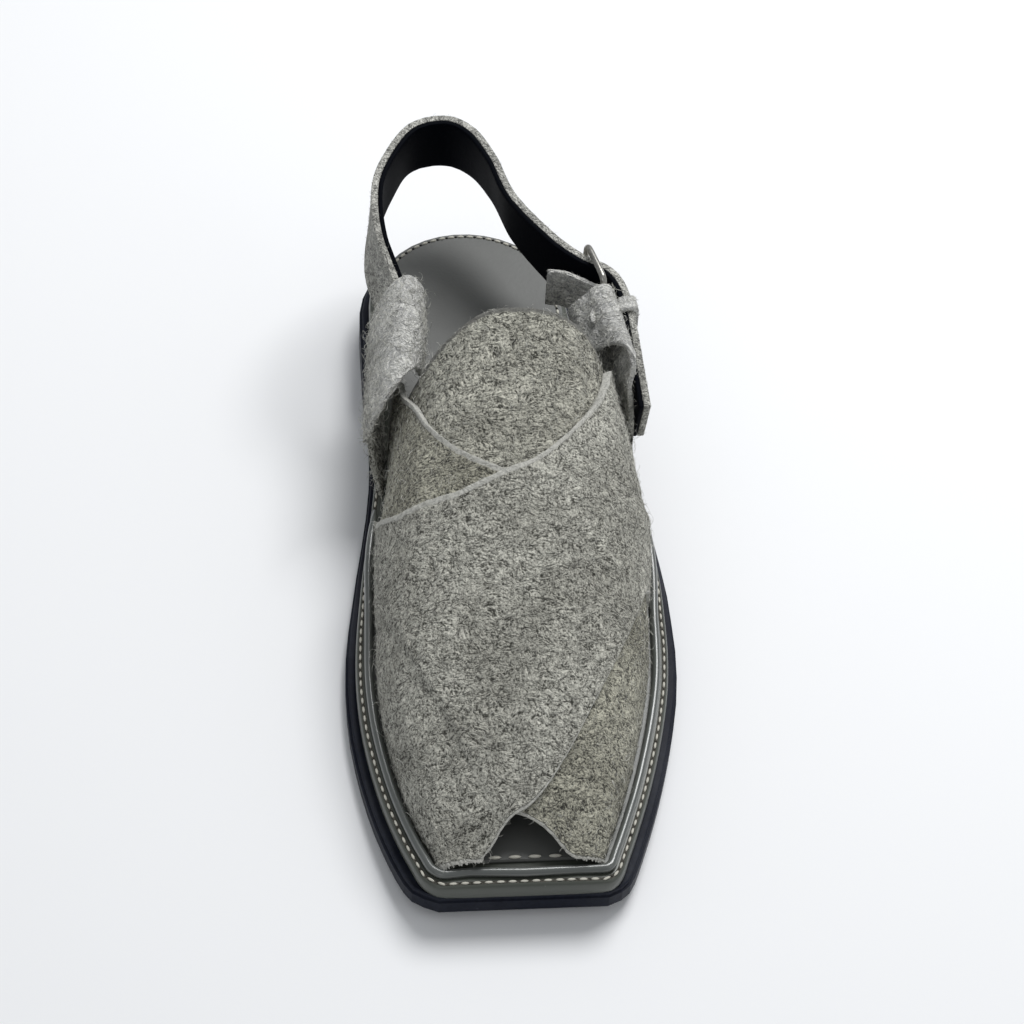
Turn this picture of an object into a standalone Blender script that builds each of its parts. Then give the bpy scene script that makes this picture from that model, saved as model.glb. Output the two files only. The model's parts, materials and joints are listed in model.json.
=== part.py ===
"""A peshawari chappal, left shoe, standing empty on its sole.

Metres, +Z up. The toe points to -Y and the lateral side to +X. The origin is
on the floor under the middle of the heel.
"""
import math

import bmesh
import bpy
import numpy as np
from mathutils import Vector

# Main sizes of the shoe, in metres
SOLE_LENGTH = 0.296
BALL_WIDTH = 0.112
HEEL_WIDTH = 0.079
INSTEP_HEIGHT = 0.079
STRAP_HEIGHT = 0.082

# Sole unit and platform
OUTSOLE_THICKNESS = 0.008
HEEL_RISE = 0.009
TOE_SPRING = 0.004
SIDE_STEP = 0.0009
SIDE_CHAMFER = 0.0012
STEP_DROP = 0.0022
STEP_SLOPE = 0.0003
TOP_BEVEL = 0.0005
MIDSOLE_THICKNESS = 0.0062
MIDSOLE_INSET = 0.0032
INSOLE_THICKNESS = 0.0025
INSOLE_HEEL_INSET = 0.0058
INSOLE_STEP = 0.0022
INSOLE_EDGE = 0.0006
# Share of its thickness that the insole keeps at the toe, and where the skive ends
INSOLE_SKIVE = 0.4
INSOLE_SKIVE_END = 0.09

# Upper, rand and the clearance between pieces
FIT_GAP = 0.0003
SKIN_GAP = 0.00045
UNDER_WALL = 0.0018
OVER_WALL = 0.0023
BAND_BITE = 0.0005
TONGUE_WALL = 0.0016
FEATHER_INSET = 0.0124
# The layers step back less at the toe's front edge than at the sides
TOE_SHARE = 0.62
RAND_RADIUS = 0.0016
# Station of the bead's ends, their size as a share, and how far its sides tuck
# under, as a share of a half turn
RAND_END = 0.552
RAND_TAPER = 0.55
RAND_TUCK = 0.17

# Strap, loops and buckle
STRAP_WIDTH = 0.0235
STRAP_THICKNESS = 0.0042
LOOP_WALL = 0.0017
LOOP_HEIGHT = 0.063
LOOP_DEPTH = 0.017
STRAP_BEVEL = 0.0008
KEEPER_WALL = 0.0018
KEEPER_BEVEL = 0.0014
WIRE_RADIUS = 0.0013
PRONG_RADIUS = 0.0010
HOLE_RADIUS = 0.0018
BUCKLE_LENGTH = 0.0165
BUCKLE_CORNER = 0.0030
BAR_GAP = 0.0008
HOOK_RADIUS = WIRE_RADIUS + PRONG_RADIUS + FIT_GAP
# The prong leaves its hook this share of the hook's radius behind the bar
HOOK_LEAD = 0.3
CHAPE_WALL = 0.0016
CHAPE_HEIGHT = 0.0166
# Slot in the chape for the prong: its size along the shoe, its height and its
# middle's distance from the front bar
SLOT_REACH = 0.0110
SLOT_HEIGHT = 0.0036
SLOT_SHIFT = 0.0012

# Numbers of divisions
SIDE_POINTS = 38
DENSE_POINTS = 400
FRONT_POINTS = 30
BAND_TURNS = 26
BAND_STEPS = 13
TONGUE_TURNS = 16
TONGUE_STEPS = 7
LOOP_POINTS = 15
LOOP_STEPS = 6
RAND_POINTS = 30
RAND_SIDES = 7
STRAP_SECTIONS = 46
CHAPE_SECTIONS = 26
WIRE_SIDES = 8
PRONG_SIDES = 6
CORNER_POINTS = 4
# Nearest that a ring's point may come to the heel's front face, as a share
BREAST_CLEAR = 0.008
# Steps for the slopes of the last and of the strap's path
LAST_STEP = 0.003
PATH_STEP = 0.05

# Half widths of the sole. station: share of SOLE_LENGTH from the toe.
# medial, lateral: shares of BALL_WIDTH
FOREFOOT = (
    dict(station=0.000, medial=0.225, lateral=0.255),
    dict(station=0.008, medial=0.269, lateral=0.298),
    dict(station=0.018, medial=0.303, lateral=0.324),
    dict(station=0.035, medial=0.326, lateral=0.345),
    dict(station=0.069, medial=0.359, lateral=0.379),
    dict(station=0.126, medial=0.401, lateral=0.431),
    dict(station=0.180, medial=0.429, lateral=0.473),
    dict(station=0.235, medial=0.448, lateral=0.509),
    dict(station=0.292, medial=0.455, lateral=0.536),
    dict(station=0.350, medial=0.449, lateral=0.547),
    dict(station=0.410, medial=0.428, lateral=0.547),
)
# The same behind the ball. medial, lateral: shares of HEEL_WIDTH
HINDFOOT = (
    dict(station=0.471, medial=0.572, lateral=0.760),
    dict(station=0.532, medial=0.532, lateral=0.732),
    dict(station=0.596, medial=0.500, lateral=0.686),
    dict(station=0.660, medial=0.490, lateral=0.627),
    dict(station=0.728, medial=0.496, lateral=0.570),
    dict(station=0.796, medial=0.501, lateral=0.525),
    dict(station=0.866, medial=0.500, lateral=0.500),
)
HEEL_CENTRE = 0.866
# The layers step back less at the waist too. share: of a layer's full inset
INSET_SHARES = (
    dict(station=0.00, share=1.00),
    dict(station=0.34, share=1.00),
    dict(station=0.50, share=0.68),
    dict(station=0.70, share=0.66),
    dict(station=0.84, share=1.00),
    dict(station=1.00, share=1.00),
)
# Station where the heel's front face stands, and how far it slopes
HEEL_BREAST = 0.715
BREAST_SLOPE = 0.006
# Edge of the midsole, from its foot up. height, inset: shares of its thickness
MIDSOLE_EDGE = (
    dict(height=0.00, inset=0.10),
    dict(height=0.16, inset=0.00),
    dict(height=0.66, inset=0.00),
    dict(height=0.90, inset=0.11),
    dict(height=1.00, inset=0.31),
)
# Stations between which the insole widens, behind the loops
WIDEN_START = 0.75
WIDEN_END = 0.86

# Bottom of the sole. spring: share of TOE_SPRING, rise: share of HEEL_RISE
SOLE_HEIGHTS = (
    dict(station=0.00, spring=1.00, rise=0.00),
    dict(station=0.07, spring=0.50, rise=0.00),
    dict(station=0.14, spring=0.14, rise=0.00),
    dict(station=0.22, spring=0.00, rise=0.00),
    dict(station=0.42, spring=0.00, rise=0.00),
    dict(station=0.52, spring=0.00, rise=0.18),
    dict(station=0.62, spring=0.00, rise=0.58),
    dict(station=0.70, spring=0.00, rise=0.88),
    dict(station=0.80, spring=0.00, rise=1.00),
    dict(station=1.00, spring=0.00, rise=1.00),
)

# Ridge of the last. height: share of INSTEP_HEIGHT above the floor.
# lean: how far the ridge moves to the lateral side, a share of BALL_WIDTH.
# power: of the superellipse that the section follows, boxier when higher
RIDGE = (
    dict(station=0.0235, height=0.266, lean=0.000, power=3.0),
    dict(station=0.062, height=0.380, lean=0.000, power=2.9),
    dict(station=0.120, height=0.480, lean=0.000, power=2.7),
    dict(station=0.200, height=0.575, lean=0.000, power=2.5),
    dict(station=0.290, height=0.650, lean=0.000, power=2.5),
    dict(station=0.380, height=0.725, lean=0.000, power=2.5),
    dict(station=0.460, height=0.795, lean=0.010, power=2.5),
    dict(station=0.560, height=0.885, lean=0.028, power=2.5),
    dict(station=0.655, height=1.000, lean=0.057, power=2.4),
    dict(station=0.700, height=1.040, lean=0.066, power=2.4),
)

# Edges of the two bands. turn: place across the last, 0 at the medial feather
# and 1 at the lateral one. The others are shares of SOLE_LENGTH from the toe.
OVER_BAND = (
    dict(turn=0.00, front=0.029, rear=0.500),
    dict(turn=0.12, front=0.029, rear=0.460),
    dict(turn=0.23, front=0.029, rear=0.435),
    dict(turn=0.37, front=0.029, rear=0.430),
    dict(turn=0.43, front=0.034, rear=0.439),
    dict(turn=0.49, front=0.056, rear=0.455),
    dict(turn=0.55, front=0.086, rear=0.482),
    dict(turn=0.62, front=0.130, rear=0.520),
    dict(turn=0.68, front=0.181, rear=0.553),
    dict(turn=0.74, front=0.240, rear=0.590),
    dict(turn=0.80, front=0.300, rear=0.625),
    dict(turn=0.87, front=0.350, rear=0.645),
    dict(turn=1.00, front=0.385, rear=0.655),
)
UNDER_BAND = (
    dict(turn=0.00, front=0.385, rear=0.615),
    dict(turn=0.05, front=0.378, rear=0.659),
    dict(turn=0.12, front=0.350, rear=0.632),
    dict(turn=0.20, front=0.300, rear=0.585),
    dict(turn=0.27, front=0.235, rear=0.541),
    dict(turn=0.39, front=0.130, rear=0.484),
    dict(turn=0.49, front=0.065, rear=0.453),
    dict(turn=0.56, front=0.040, rear=0.438),
    dict(turn=0.69, front=0.029, rear=0.430),
    dict(turn=0.80, front=0.029, rear=0.440),
    dict(turn=1.00, front=0.029, rear=0.490),
)
OVER_TIP = 0.37
UNDER_TIP = 0.69
# How far the top band takes to climb onto the lower one, along the foot
CLIMB = 0.028
# Walls are thinner at the toe, where the bands are lasted over its corners
TOE_SKIVE = 0.62
TOE_SKIVE_LENGTH = 0.06
# Share of the top band's lift left at the feather line, and the turns it grows over
LOW_LIFT = 0.25
LOW_TURNS = 0.10

# Rim of the tongue, over the same turns
TONGUE_RIM = (
    dict(turn=0.05, rear=0.628),
    dict(turn=0.14, rear=0.627),
    dict(turn=0.30, rear=0.644),
    dict(turn=0.45, rear=0.659),
    dict(turn=0.60, rear=0.655),
    dict(turn=0.75, rear=0.650),
    dict(turn=0.86, rear=0.640),
)
TONGUE_FRONT = 0.415


# Middle line of the heel strap, from its hidden end in the medial loop round the
# heel to the end of its tail. x, y, z: shares of HEEL_WIDTH, SOLE_LENGTH and
# STRAP_HEIGHT. lean: degrees that its top edge leans inwards. width: share of
# STRAP_WIDTH
STRAP_PATH = (
    dict(x=-0.342, y=-0.196, z=0.520, lean=15, width=0.78),
    dict(x=-0.346, y=-0.142, z=0.560, lean=16, width=0.80),
    dict(x=-0.367, y=-0.095, z=0.588, lean=15, width=0.82),
    dict(x=-0.432, y=-0.034, z=0.695, lean=9, width=0.92),
    dict(x=-0.424, y=0.027, z=0.765, lean=3, width=1.00),
    dict(x=-0.358, y=0.075, z=0.802, lean=4, width=1.00),
    dict(x=-0.253, y=0.117, z=0.824, lean=8, width=1.00),
    dict(x=-0.092, y=0.129, z=0.826, lean=8, width=1.00),
    dict(x=0.030, y=0.112, z=0.812, lean=9, width=1.00),
    dict(x=0.120, y=0.073, z=0.782, lean=10, width=1.00),
    dict(x=0.203, y=0.018, z=0.728, lean=11, width=1.00),
    dict(x=0.349, y=-0.032, z=0.665, lean=8, width=1.00),
    dict(x=0.475, y=-0.0635, z=0.625, lean=3, width=1.00),
    dict(x=0.582, y=-0.084, z=0.615, lean=0, width=1.00),
    dict(x=0.637, y=-0.107, z=0.608, lean=0, width=0.98),
    dict(x=0.660, y=-0.140, z=0.600, lean=0, width=0.96),
    dict(x=0.672, y=-0.183, z=0.570, lean=0, width=0.94),
    dict(x=0.684, y=-0.226, z=0.530, lean=0, width=0.92),
    dict(x=0.696, y=-0.268, z=0.490, lean=0, width=0.90),
)
# Places along the strap, counted in rows of its path
REAR_BAR_AT = 12.0
FRONT_BAR_AT = 14.0
KEEPER_AT = (14.75, 15.15)

# Loops. height: share of LOOP_HEIGHT above the platform, out: from the feather
# line outwards, a share of LOOP_DEPTH. tuck: stations that the front edge is set back
LOOP_PATHS = {
    "medial": (
        dict(height=0.00, out=0.20, tuck=0.00),
        dict(height=0.25, out=0.39, tuck=0.00),
        dict(height=0.50, out=0.40, tuck=0.00),
        dict(height=0.75, out=0.24, tuck=0.00),
        dict(height=0.93, out=-0.02, tuck=0.00),
        dict(height=1.00, out=-0.28, tuck=0.01),
        dict(height=0.94, out=-0.53, tuck=0.03),
        dict(height=0.80, out=-0.64, tuck=0.05),
        dict(height=0.62, out=-0.67, tuck=0.07),
    ),
    "lateral": (
        dict(height=0.00, out=0.20, tuck=0.00),
        dict(height=0.25, out=0.33, tuck=0.00),
        dict(height=0.50, out=0.50, tuck=0.00),
        dict(height=0.75, out=0.56, tuck=0.00),
        dict(height=0.93, out=0.44, tuck=0.00),
        dict(height=1.00, out=0.22, tuck=0.01),
        dict(height=0.94, out=0.00, tuck=0.03),
        dict(height=0.80, out=-0.10, tuck=0.05),
        dict(height=0.62, out=-0.13, tuck=0.07),
    ),
}
# Stations of the loops' front and rear edges, at the platform and at the top,
# and the share of the bulge that is left at the front edge
LOOP_SPANS = {
    "medial": dict(
        front_base=0.560, rear_base=0.740, front_top=0.640, rear_top=0.772, front_bulge=1.25
    ),
    "lateral": dict(
        front_base=0.560, rear_base=0.728, front_top=0.636, rear_top=0.724, front_bulge=0.45
    ),
}

# Degrees round the front bar that the prong's hook passes
HOOK_BEND = (-30, -65, -100, -135, -170, -205, -240)

# Plan of the chape, from its end in the loop round the bar to its free flap.
# Offsets from the front bar, as shares of BUCKLE_LENGTH. The bend: degrees round it
CHAPE_ENDS = (
    dict(x=-0.29, y=-0.92),
    dict(x=-0.27, y=-0.58),
)
CHAPE_BEND = (-60, -15, 30, 75, 115)
CHAPE_FLAP = (
    dict(x=-0.24, y=0.25),
    dict(x=-0.52, y=0.46),
    dict(x=-0.82, y=0.63),
    dict(x=-1.14, y=0.68),
)


class Curve:
    """Smooth curve through two columns of a table that never overshoots."""

    def __init__(self, places, values):
        self.places = np.array(places, float)
        self.values = np.array(values, float)
        steps = np.diff(self.places)
        rates = np.diff(self.values) / steps
        slopes = np.zeros(len(self.places))
        for i in range(1, len(slopes) - 1):
            if rates[i - 1] * rates[i] > 0:
                before = 2 * steps[i] + steps[i - 1]
                after = steps[i] + 2 * steps[i - 1]
                slopes[i] = (before + after) / (before / rates[i - 1] + after / rates[i])
        slopes[0] = rates[0]
        slopes[-1] = rates[-1]
        self.slopes = slopes

    def __call__(self, at):
        at = float(np.clip(at, self.places[0], self.places[-1]))
        i = int(np.clip(np.searchsorted(self.places, at) - 1, 0, len(self.places) - 2))
        step = self.places[i + 1] - self.places[i]
        t = (at - self.places[i]) / step
        return float(
            self.values[i] * (1 + 2 * t) * (1 - t) ** 2
            + self.slopes[i] * step * t * (1 - t) ** 2
            + self.values[i + 1] * t * t * (3 - 2 * t)
            + self.slopes[i + 1] * step * t * t * (t - 1)
        )


def column(table, place, value, scale=1.0):
    """Curve through one column of a table, scaled to a named size."""
    return Curve([row[place] for row in table], [row[value] * scale for row in table])


def smooth(value):
    """Ease from 0 to 1."""
    value = min(max(value, 0.0), 1.0)
    return value * value * (3 - 2 * value)


def station_y(station):
    """Place along the foot of a share of the length from the toe."""
    return (station - HEEL_CENTRE) * SOLE_LENGTH


def y_station(y):
    """Share of the length from the toe of a place along the foot."""
    return y / SOLE_LENGTH + HEEL_CENTRE


# Outline of the sole
def half_width(side):
    """Half width of the sole on one side, over the station."""
    rows = [(row["station"], row[side] * BALL_WIDTH) for row in FOREFOOT]
    rows += [(row["station"], row[side] * HEEL_WIDTH) for row in HINDFOOT]
    body = Curve([row[0] for row in rows], [row[1] for row in rows])
    heel_radius = HEEL_WIDTH / 2
    heel_share = 1 - HEEL_CENTRE

    def width(station):
        if station <= HEEL_CENTRE:
            return body(station)
        along = min((station - HEEL_CENTRE) / heel_share, 1.0)
        return heel_radius * math.sqrt(1 - along * along)

    return width


INSET_SHARE = column(INSET_SHARES, "station", "share")
HALF_WIDTHS = {"medial": half_width("medial"), "lateral": half_width("lateral")}
SIGNS = {"medial": -1, "lateral": 1}


def side_line(side, inset, step=0.0):
    """Dense line of one side, moved inwards by the shared inset, then out by the step."""
    width = HALF_WIDTHS[side]
    turns = [math.pi * i / (DENSE_POINTS - 1) for i in range(DENSE_POINTS)]
    stations = [0.0] * FRONT_POINTS + [(1 - math.cos(turn)) / 2 for turn in turns]
    xs = np.array([width(station) for station in stations])
    xs[:FRONT_POINTS] = np.linspace(0, xs[0], FRONT_POINTS, endpoint=False)
    ys = np.array([station_y(station) for station in stations])
    along_x, along_y = np.gradient(xs), np.gradient(ys)
    size = np.hypot(along_x, along_y)
    moved = inset * np.array([INSET_SHARE(station) for station in stations]) - step
    new_x = xs - moved * along_y / size
    new_y = ys + moved * np.where(along_x > 0, TOE_SHARE, 1.0) * along_x / size
    back = station_y(1.0) - inset + step
    keep = (new_x >= 0) & (new_y <= back)
    new_x, new_y = new_x[keep], new_y[keep]
    new_x = np.append(new_x, 0.0)
    new_y = np.append(np.maximum.accumulate(new_y), back)
    return new_y, new_x


LINES = {}


def edge_x(side, y, inset, step=0.0):
    """Place across of one side's edge at y, moved inwards by the inset."""
    key = (side, round(inset, 6), round(step, 6))
    if key not in LINES:
        LINES[key] = side_line(side, inset, step)
    ys, xs = LINES[key]
    return SIGNS[side] * float(np.interp(y, ys, xs))


def ring_stations():
    """Shares of a ring's own length, close together at toe and heel."""
    shares = [(1 - math.cos(math.pi * i / (SIDE_POINTS - 0.5))) / 2 for i in range(SIDE_POINTS)]
    breast = [HEEL_BREAST, HEEL_BREAST + BREAST_SLOPE]
    shares = [a for a in shares if min(abs(a - edge) for edge in breast) > BREAST_CLEAR]
    return sorted(shares + breast)


def ring(height, toe_inset, heel_inset=None):
    """Closed ring round the sole. height is a function of the station.

    It goes from the toe inset to the heel inset behind the loops.
    """
    heel_inset = toe_inset if heel_inset is None else heel_inset
    front = station_y(0.0) + toe_inset * TOE_SHARE
    back = station_y(1.0) - heel_inset
    sides = {}
    for side in ("lateral", "medial"):
        points = []
        for share in ring_stations():
            y = front + share * (back - front)
            blend = smooth((share - WIDEN_START) / (WIDEN_END - WIDEN_START))
            x = (1 - blend) * edge_x(side, y, toe_inset) + blend * edge_x(side, y, heel_inset)
            points.append(Vector((x, y, height(y_station(y)))))
        sides[side] = points
    return sides["lateral"] + sides["medial"][::-1]


# Heights of the sole's layers
SPRING = column(SOLE_HEIGHTS, "station", "spring", TOE_SPRING)
RISE = column(SOLE_HEIGHTS, "station", "rise", HEEL_RISE)


def waist_height(station):
    """Lower face of the sole without its heel block."""
    return SPRING(station) + RISE(station)


def tread_height(station):
    """Lower face of the sole, flat again under the heel."""
    return waist_height(station) if station < HEEL_BREAST + BREAST_SLOPE / 2 else 0.0


def outsole_top(station):
    return waist_height(station) + OUTSOLE_THICKNESS


def midsole_base(station):
    return outsole_top(station) + FIT_GAP


def midsole_top(station):
    return midsole_base(station) + MIDSOLE_THICKNESS


def raised(height, rise):
    """The height function, moved up."""
    return lambda station: height(station) + rise


# Meshes
def finish(name, colour, roughness, metallic=0.0):
    """Plain material of one piece."""
    material = bpy.data.materials.new(name)
    material.use_nodes = True
    shader = material.node_tree.nodes["Principled BSDF"]
    shader.inputs["Base Color"].default_value = (*colour, 1.0)
    shader.inputs["Roughness"].default_value = roughness
    shader.inputs["Metallic"].default_value = metallic
    material.diffuse_color = (*colour, 1.0)
    return material


def add_piece(name, mesh_work, material, sharp_angle=40):
    """Make an object of a bmesh, with its faces pointing out."""
    bmesh.ops.recalc_face_normals(mesh_work, faces=mesh_work.faces)
    mesh = bpy.data.meshes.new(name)
    mesh_work.to_mesh(mesh)
    mesh_work.free()
    mesh.shade_smooth()
    mesh.set_sharp_from_angle(angle=math.radians(sharp_angle))
    mesh.materials.append(material)
    piece = bpy.data.objects.new(name, mesh)
    bpy.context.scene.collection.objects.link(piece)
    return piece


def skin_rings(work, rings, closed_rings=True):
    """Quads between rings of points. Returns the rings' vertices."""
    corners = [[work.verts.new(point) for point in points] for points in rings]
    count = len(rings[0])
    last = count if closed_rings else count - 1
    for lower, upper in zip(corners, corners[1:]):
        for i in range(last):
            j = (i + 1) % count
            work.faces.new((lower[i], lower[j], upper[j], upper[i]))
    return corners


def strip_cap(work, corners):
    """Close a ring of the sole with strips from side to side."""
    count = len(corners)
    for i in range(count // 2 - 1):
        work.faces.new((corners[i], corners[i + 1], corners[count - 2 - i], corners[count - 1 - i]))


def layer(name, rings, material):
    """Solid layer of the sole through rings from the bottom to the top."""
    work = bmesh.new()
    corners = skin_rings(work, rings)
    strip_cap(work, corners[0])
    strip_cap(work, corners[-1])
    return add_piece(name, work, material)


def tube(name, sections, material, sharp_angle=40):
    """Solid through closed sections, with flat ends."""
    work = bmesh.new()
    corners = skin_rings(work, sections)
    work.faces.new(corners[0])
    work.faces.new(corners[-1])
    return add_piece(name, work, material, sharp_angle)


def make_outsole(material):
    tread_side = raised(tread_height, SIDE_CHAMFER)
    rings = [
        ring(tread_height, SIDE_CHAMFER),
        ring(tread_side, 0.0),
        ring(raised(outsole_top, -STEP_DROP), 0.0),
        ring(raised(outsole_top, STEP_SLOPE - STEP_DROP), SIDE_STEP),
        ring(raised(outsole_top, -TOP_BEVEL), SIDE_STEP),
        ring(outsole_top, SIDE_STEP + TOP_BEVEL),
    ]
    return layer("outsole", rings, material)


def make_midsole(material):
    rings = []
    for row in MIDSOLE_EDGE:
        height = raised(midsole_base, row["height"] * MIDSOLE_THICKNESS)
        rings.append(ring(height, MIDSOLE_INSET + row["inset"] * MIDSOLE_THICKNESS))
    return layer("midsole", rings, material)


def make_insole(material):
    toe_inset = FEATHER_INSET + INSOLE_STEP
    base = raised(midsole_top, FIT_GAP)

    def top(station):
        """Upper face of the insole, skived towards the toe."""
        share = INSOLE_SKIVE + (1 - INSOLE_SKIVE) * smooth(station / INSOLE_SKIVE_END)
        return midsole_top(station) + INSOLE_THICKNESS * share

    rings = [
        ring(base, toe_inset, INSOLE_HEEL_INSET),
        ring(raised(top, -INSOLE_EDGE), toe_inset, INSOLE_HEEL_INSET),
        ring(top, toe_inset + INSOLE_EDGE, INSOLE_HEEL_INSET + INSOLE_EDGE),
    ]
    return layer("insole", rings, material)


def make_rand(material):
    """Rolled bead on the platform, round the forefoot."""
    step = OVER_WALL + BAND_BITE + FIT_GAP + RAND_RADIUS
    front = station_y(0.0) + (FEATHER_INSET - step) * TOE_SHARE
    back = station_y(RAND_END)
    line = []
    for side in ("lateral", "medial"):
        points = []
        for i in range(RAND_POINTS):
            share = 1 - math.cos(math.pi / 2 * (i + 0.5) / RAND_POINTS)
            y = front + share * (back - front)
            x = edge_x(side, y, FEATHER_INSET, step)
            points.append(Vector((x, y, midsole_top(y_station(y)))))
        line.append(points)
    path = line[0][::-1] + line[1]
    sections = []
    for i, centre in enumerate(path):
        along = path[min(i + 1, len(path) - 1)] - path[max(i - 1, 0)]
        across = along.cross(Vector((0, 0, 1))).normalized()
        end = min(i, len(path) - 1 - i)
        size = RAND_RADIUS * (RAND_TAPER if end == 0 else 1.0)
        section = []
        for k in range(RAND_SIDES):
            angle = math.pi * (k / (RAND_SIDES - 1) * (1 + 2 * RAND_TUCK) - RAND_TUCK)
            lift = size * (math.sin(angle) + math.sin(math.pi * RAND_TUCK)) + FIT_GAP
            section.append(centre + across * size * math.cos(angle) + Vector((0, 0, lift)))
        sections.append(section)
    return tube("rand", sections, material)


# The last: the inner face of the upper
RIDGE_HEIGHT = column(RIDGE, "station", "height", INSTEP_HEIGHT)
RIDGE_LEAN = column(RIDGE, "station", "lean", BALL_WIDTH)
SECTION_POWER = column(RIDGE, "station", "power")
LAST_FRONT = RIDGE[0]["station"]


def last_surface(station, turn):
    """Point on the last, without the normal offset."""
    y = station_y(station)
    base = midsole_top(station) + FIT_GAP
    left = edge_x("medial", y, FEATHER_INSET)
    right = edge_x("lateral", y, FEATHER_INSET)
    rise = RIDGE_HEIGHT(station) - base
    angle = math.pi * turn
    power = 2 / SECTION_POWER(station)
    across = -math.copysign(abs(math.cos(angle)) ** power, math.cos(angle))
    up = max(math.sin(angle), 0.0) ** power
    x = (left + right) / 2 + across * (right - left) / 2 + RIDGE_LEAN(station) * up
    return Vector((x, y, base + rise * up))


def last_point(station, turn, offset):
    """Point at an offset from the last, along its normal."""
    low, high = max(turn - LAST_STEP, 0.0), min(turn + LAST_STEP, 1.0)
    across = last_surface(station, high) - last_surface(station, low)
    along = last_surface(station + LAST_STEP, turn)
    along -= last_surface(max(station - LAST_STEP, LAST_FRONT), turn)
    normal = across.cross(along).normalized()
    if low == 0.0 or high == 1.0:
        normal.z = 0.0
        normal.normalize()
    return last_surface(station, turn) + normal * offset


def spread_turns(first, final, count, tip=None):
    """Even turns, the nearest one moved onto a band's tip."""
    turns = [first + (final - first) * i / count for i in range(count + 1)]
    if tip is not None:
        nearest = min(range(len(turns)), key=lambda i: abs(turns[i] - tip))
        turns[nearest] = tip
    return turns


def last_sheet(name, turns, steps, front, rear, inner, outer, material):
    """Sheet on the last between a front and a rear edge, with a wall."""
    work = bmesh.new()
    grids = []
    for offset in (inner, outer):
        grid = []
        for turn in turns:
            row = []
            for i in range(steps + 1):
                station = front(turn) + (rear(turn) - front(turn)) * i / steps
                row.append(work.verts.new(last_point(station, turn, offset(station, turn))))
            grid.append(row)
        grids.append(grid)
    for grid in grids:
        for low, high in zip(grid, grid[1:]):
            for i in range(steps):
                work.faces.new((low[i], low[i + 1], high[i + 1], high[i]))
    inside, outside = grids
    for i in range(len(turns) - 1):
        for edge in (0, -1):
            corners = inside[i][edge], inside[i + 1][edge], outside[i + 1][edge], outside[i][edge]
            work.faces.new(corners)
    for i in range(steps):
        for edge in (0, -1):
            corners = inside[edge][i], inside[edge][i + 1], outside[edge][i + 1], outside[edge][i]
            work.faces.new(corners)
    return add_piece(name, work, material)


OVER_FRONT = column(OVER_BAND, "turn", "front")
OVER_REAR = column(OVER_BAND, "turn", "rear")
UNDER_FRONT = column(UNDER_BAND, "turn", "front")
UNDER_REAR = column(UNDER_BAND, "turn", "rear")


def skive(turn):
    """Share of the lift that is left near the feather line."""
    return LOW_LIFT + (1 - LOW_LIFT) * smooth(min(turn, 1 - turn) / LOW_TURNS)


def toe_skive(station):
    """Share of the wall that is left near the toe."""
    return TOE_SKIVE + (1 - TOE_SKIVE) * smooth((station - LAST_FRONT) / TOE_SKIVE_LENGTH)


def over_lift(station, turn):
    """How far the top band's inner face stands off the last."""
    inside = min(station - UNDER_FRONT(turn), UNDER_REAR(turn) - station)
    blend = smooth(1 + inside / CLIMB)
    return blend * skive(turn) * (UNDER_WALL - BAND_BITE)


def over_face(station, turn):
    """How far the top band's outer face stands off the last."""
    return over_lift(station, turn) + OVER_WALL * toe_skive(station)


def make_upper(material):
    """Two crossed bands as one wall, the top one as a step."""
    under = last_sheet(
        "upper", spread_turns(0, 1, BAND_TURNS, UNDER_TIP), BAND_STEPS, UNDER_FRONT, UNDER_REAR,
        lambda station, turn: 0.0, lambda station, turn: UNDER_WALL * toe_skive(station), material,
    )
    over = last_sheet(
        "over_band", spread_turns(0, 1, BAND_TURNS, OVER_TIP), BAND_STEPS, OVER_FRONT, OVER_REAR,
        over_lift, over_face, material,
    )
    join(under, over)
    return under


def join(piece, other):
    """Union of two solids, applied, and the second one removed."""
    modifier = piece.modifiers.new("union", "BOOLEAN")
    modifier.operation = "UNION"
    modifier.solver = "EXACT"
    modifier.object = other
    graph = bpy.context.evaluated_depsgraph_get()
    joined = bpy.data.meshes.new_from_object(piece.evaluated_get(graph))
    piece.modifiers.clear()
    piece.data = joined
    bpy.data.objects.remove(other)


def make_tongue(material):
    rim = column(TONGUE_RIM, "turn", "rear")
    turns = spread_turns(TONGUE_RIM[0]["turn"], TONGUE_RIM[-1]["turn"], TONGUE_TURNS)
    return last_sheet(
        "tongue", turns, TONGUE_STEPS, lambda turn: TONGUE_FRONT, rim,
        lambda station, turn: -SKIN_GAP - TONGUE_WALL, lambda station, turn: -SKIN_GAP, material,
    )


# Strap, loops and buckle
def through(points, count):
    """Smooth line through points, as lists of numbers, that passes each of them."""
    spans = len(points) - 1
    return [along_path(points, spans * i / (count - 1)) for i in range(count)]


def along_path(points, at):
    """Point of a smooth line, at a place counted in its own points."""
    spans = len(points) - 1
    i = min(int(at), spans - 1)
    t = at - i
    ends = [points[max(i - 1, 0)], points[i], points[i + 1], points[min(i + 2, spans)]]
    before, start, stop, after = [np.array(end, float) for end in ends]
    return (
        start
        + 0.5 * t * (stop - before)
        + t * t * (before - 2.5 * start + 2 * stop - 0.5 * after)
        + t ** 3 * (1.5 * (start - stop) + 0.5 * (after - before))
    )


STRAP_ROWS = [
    (
        row["x"] * HEEL_WIDTH, row["y"] * SOLE_LENGTH, row["z"] * STRAP_HEIGHT,
        math.radians(row["lean"]), row["width"] * STRAP_WIDTH,
    )
    for row in STRAP_PATH
]


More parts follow.
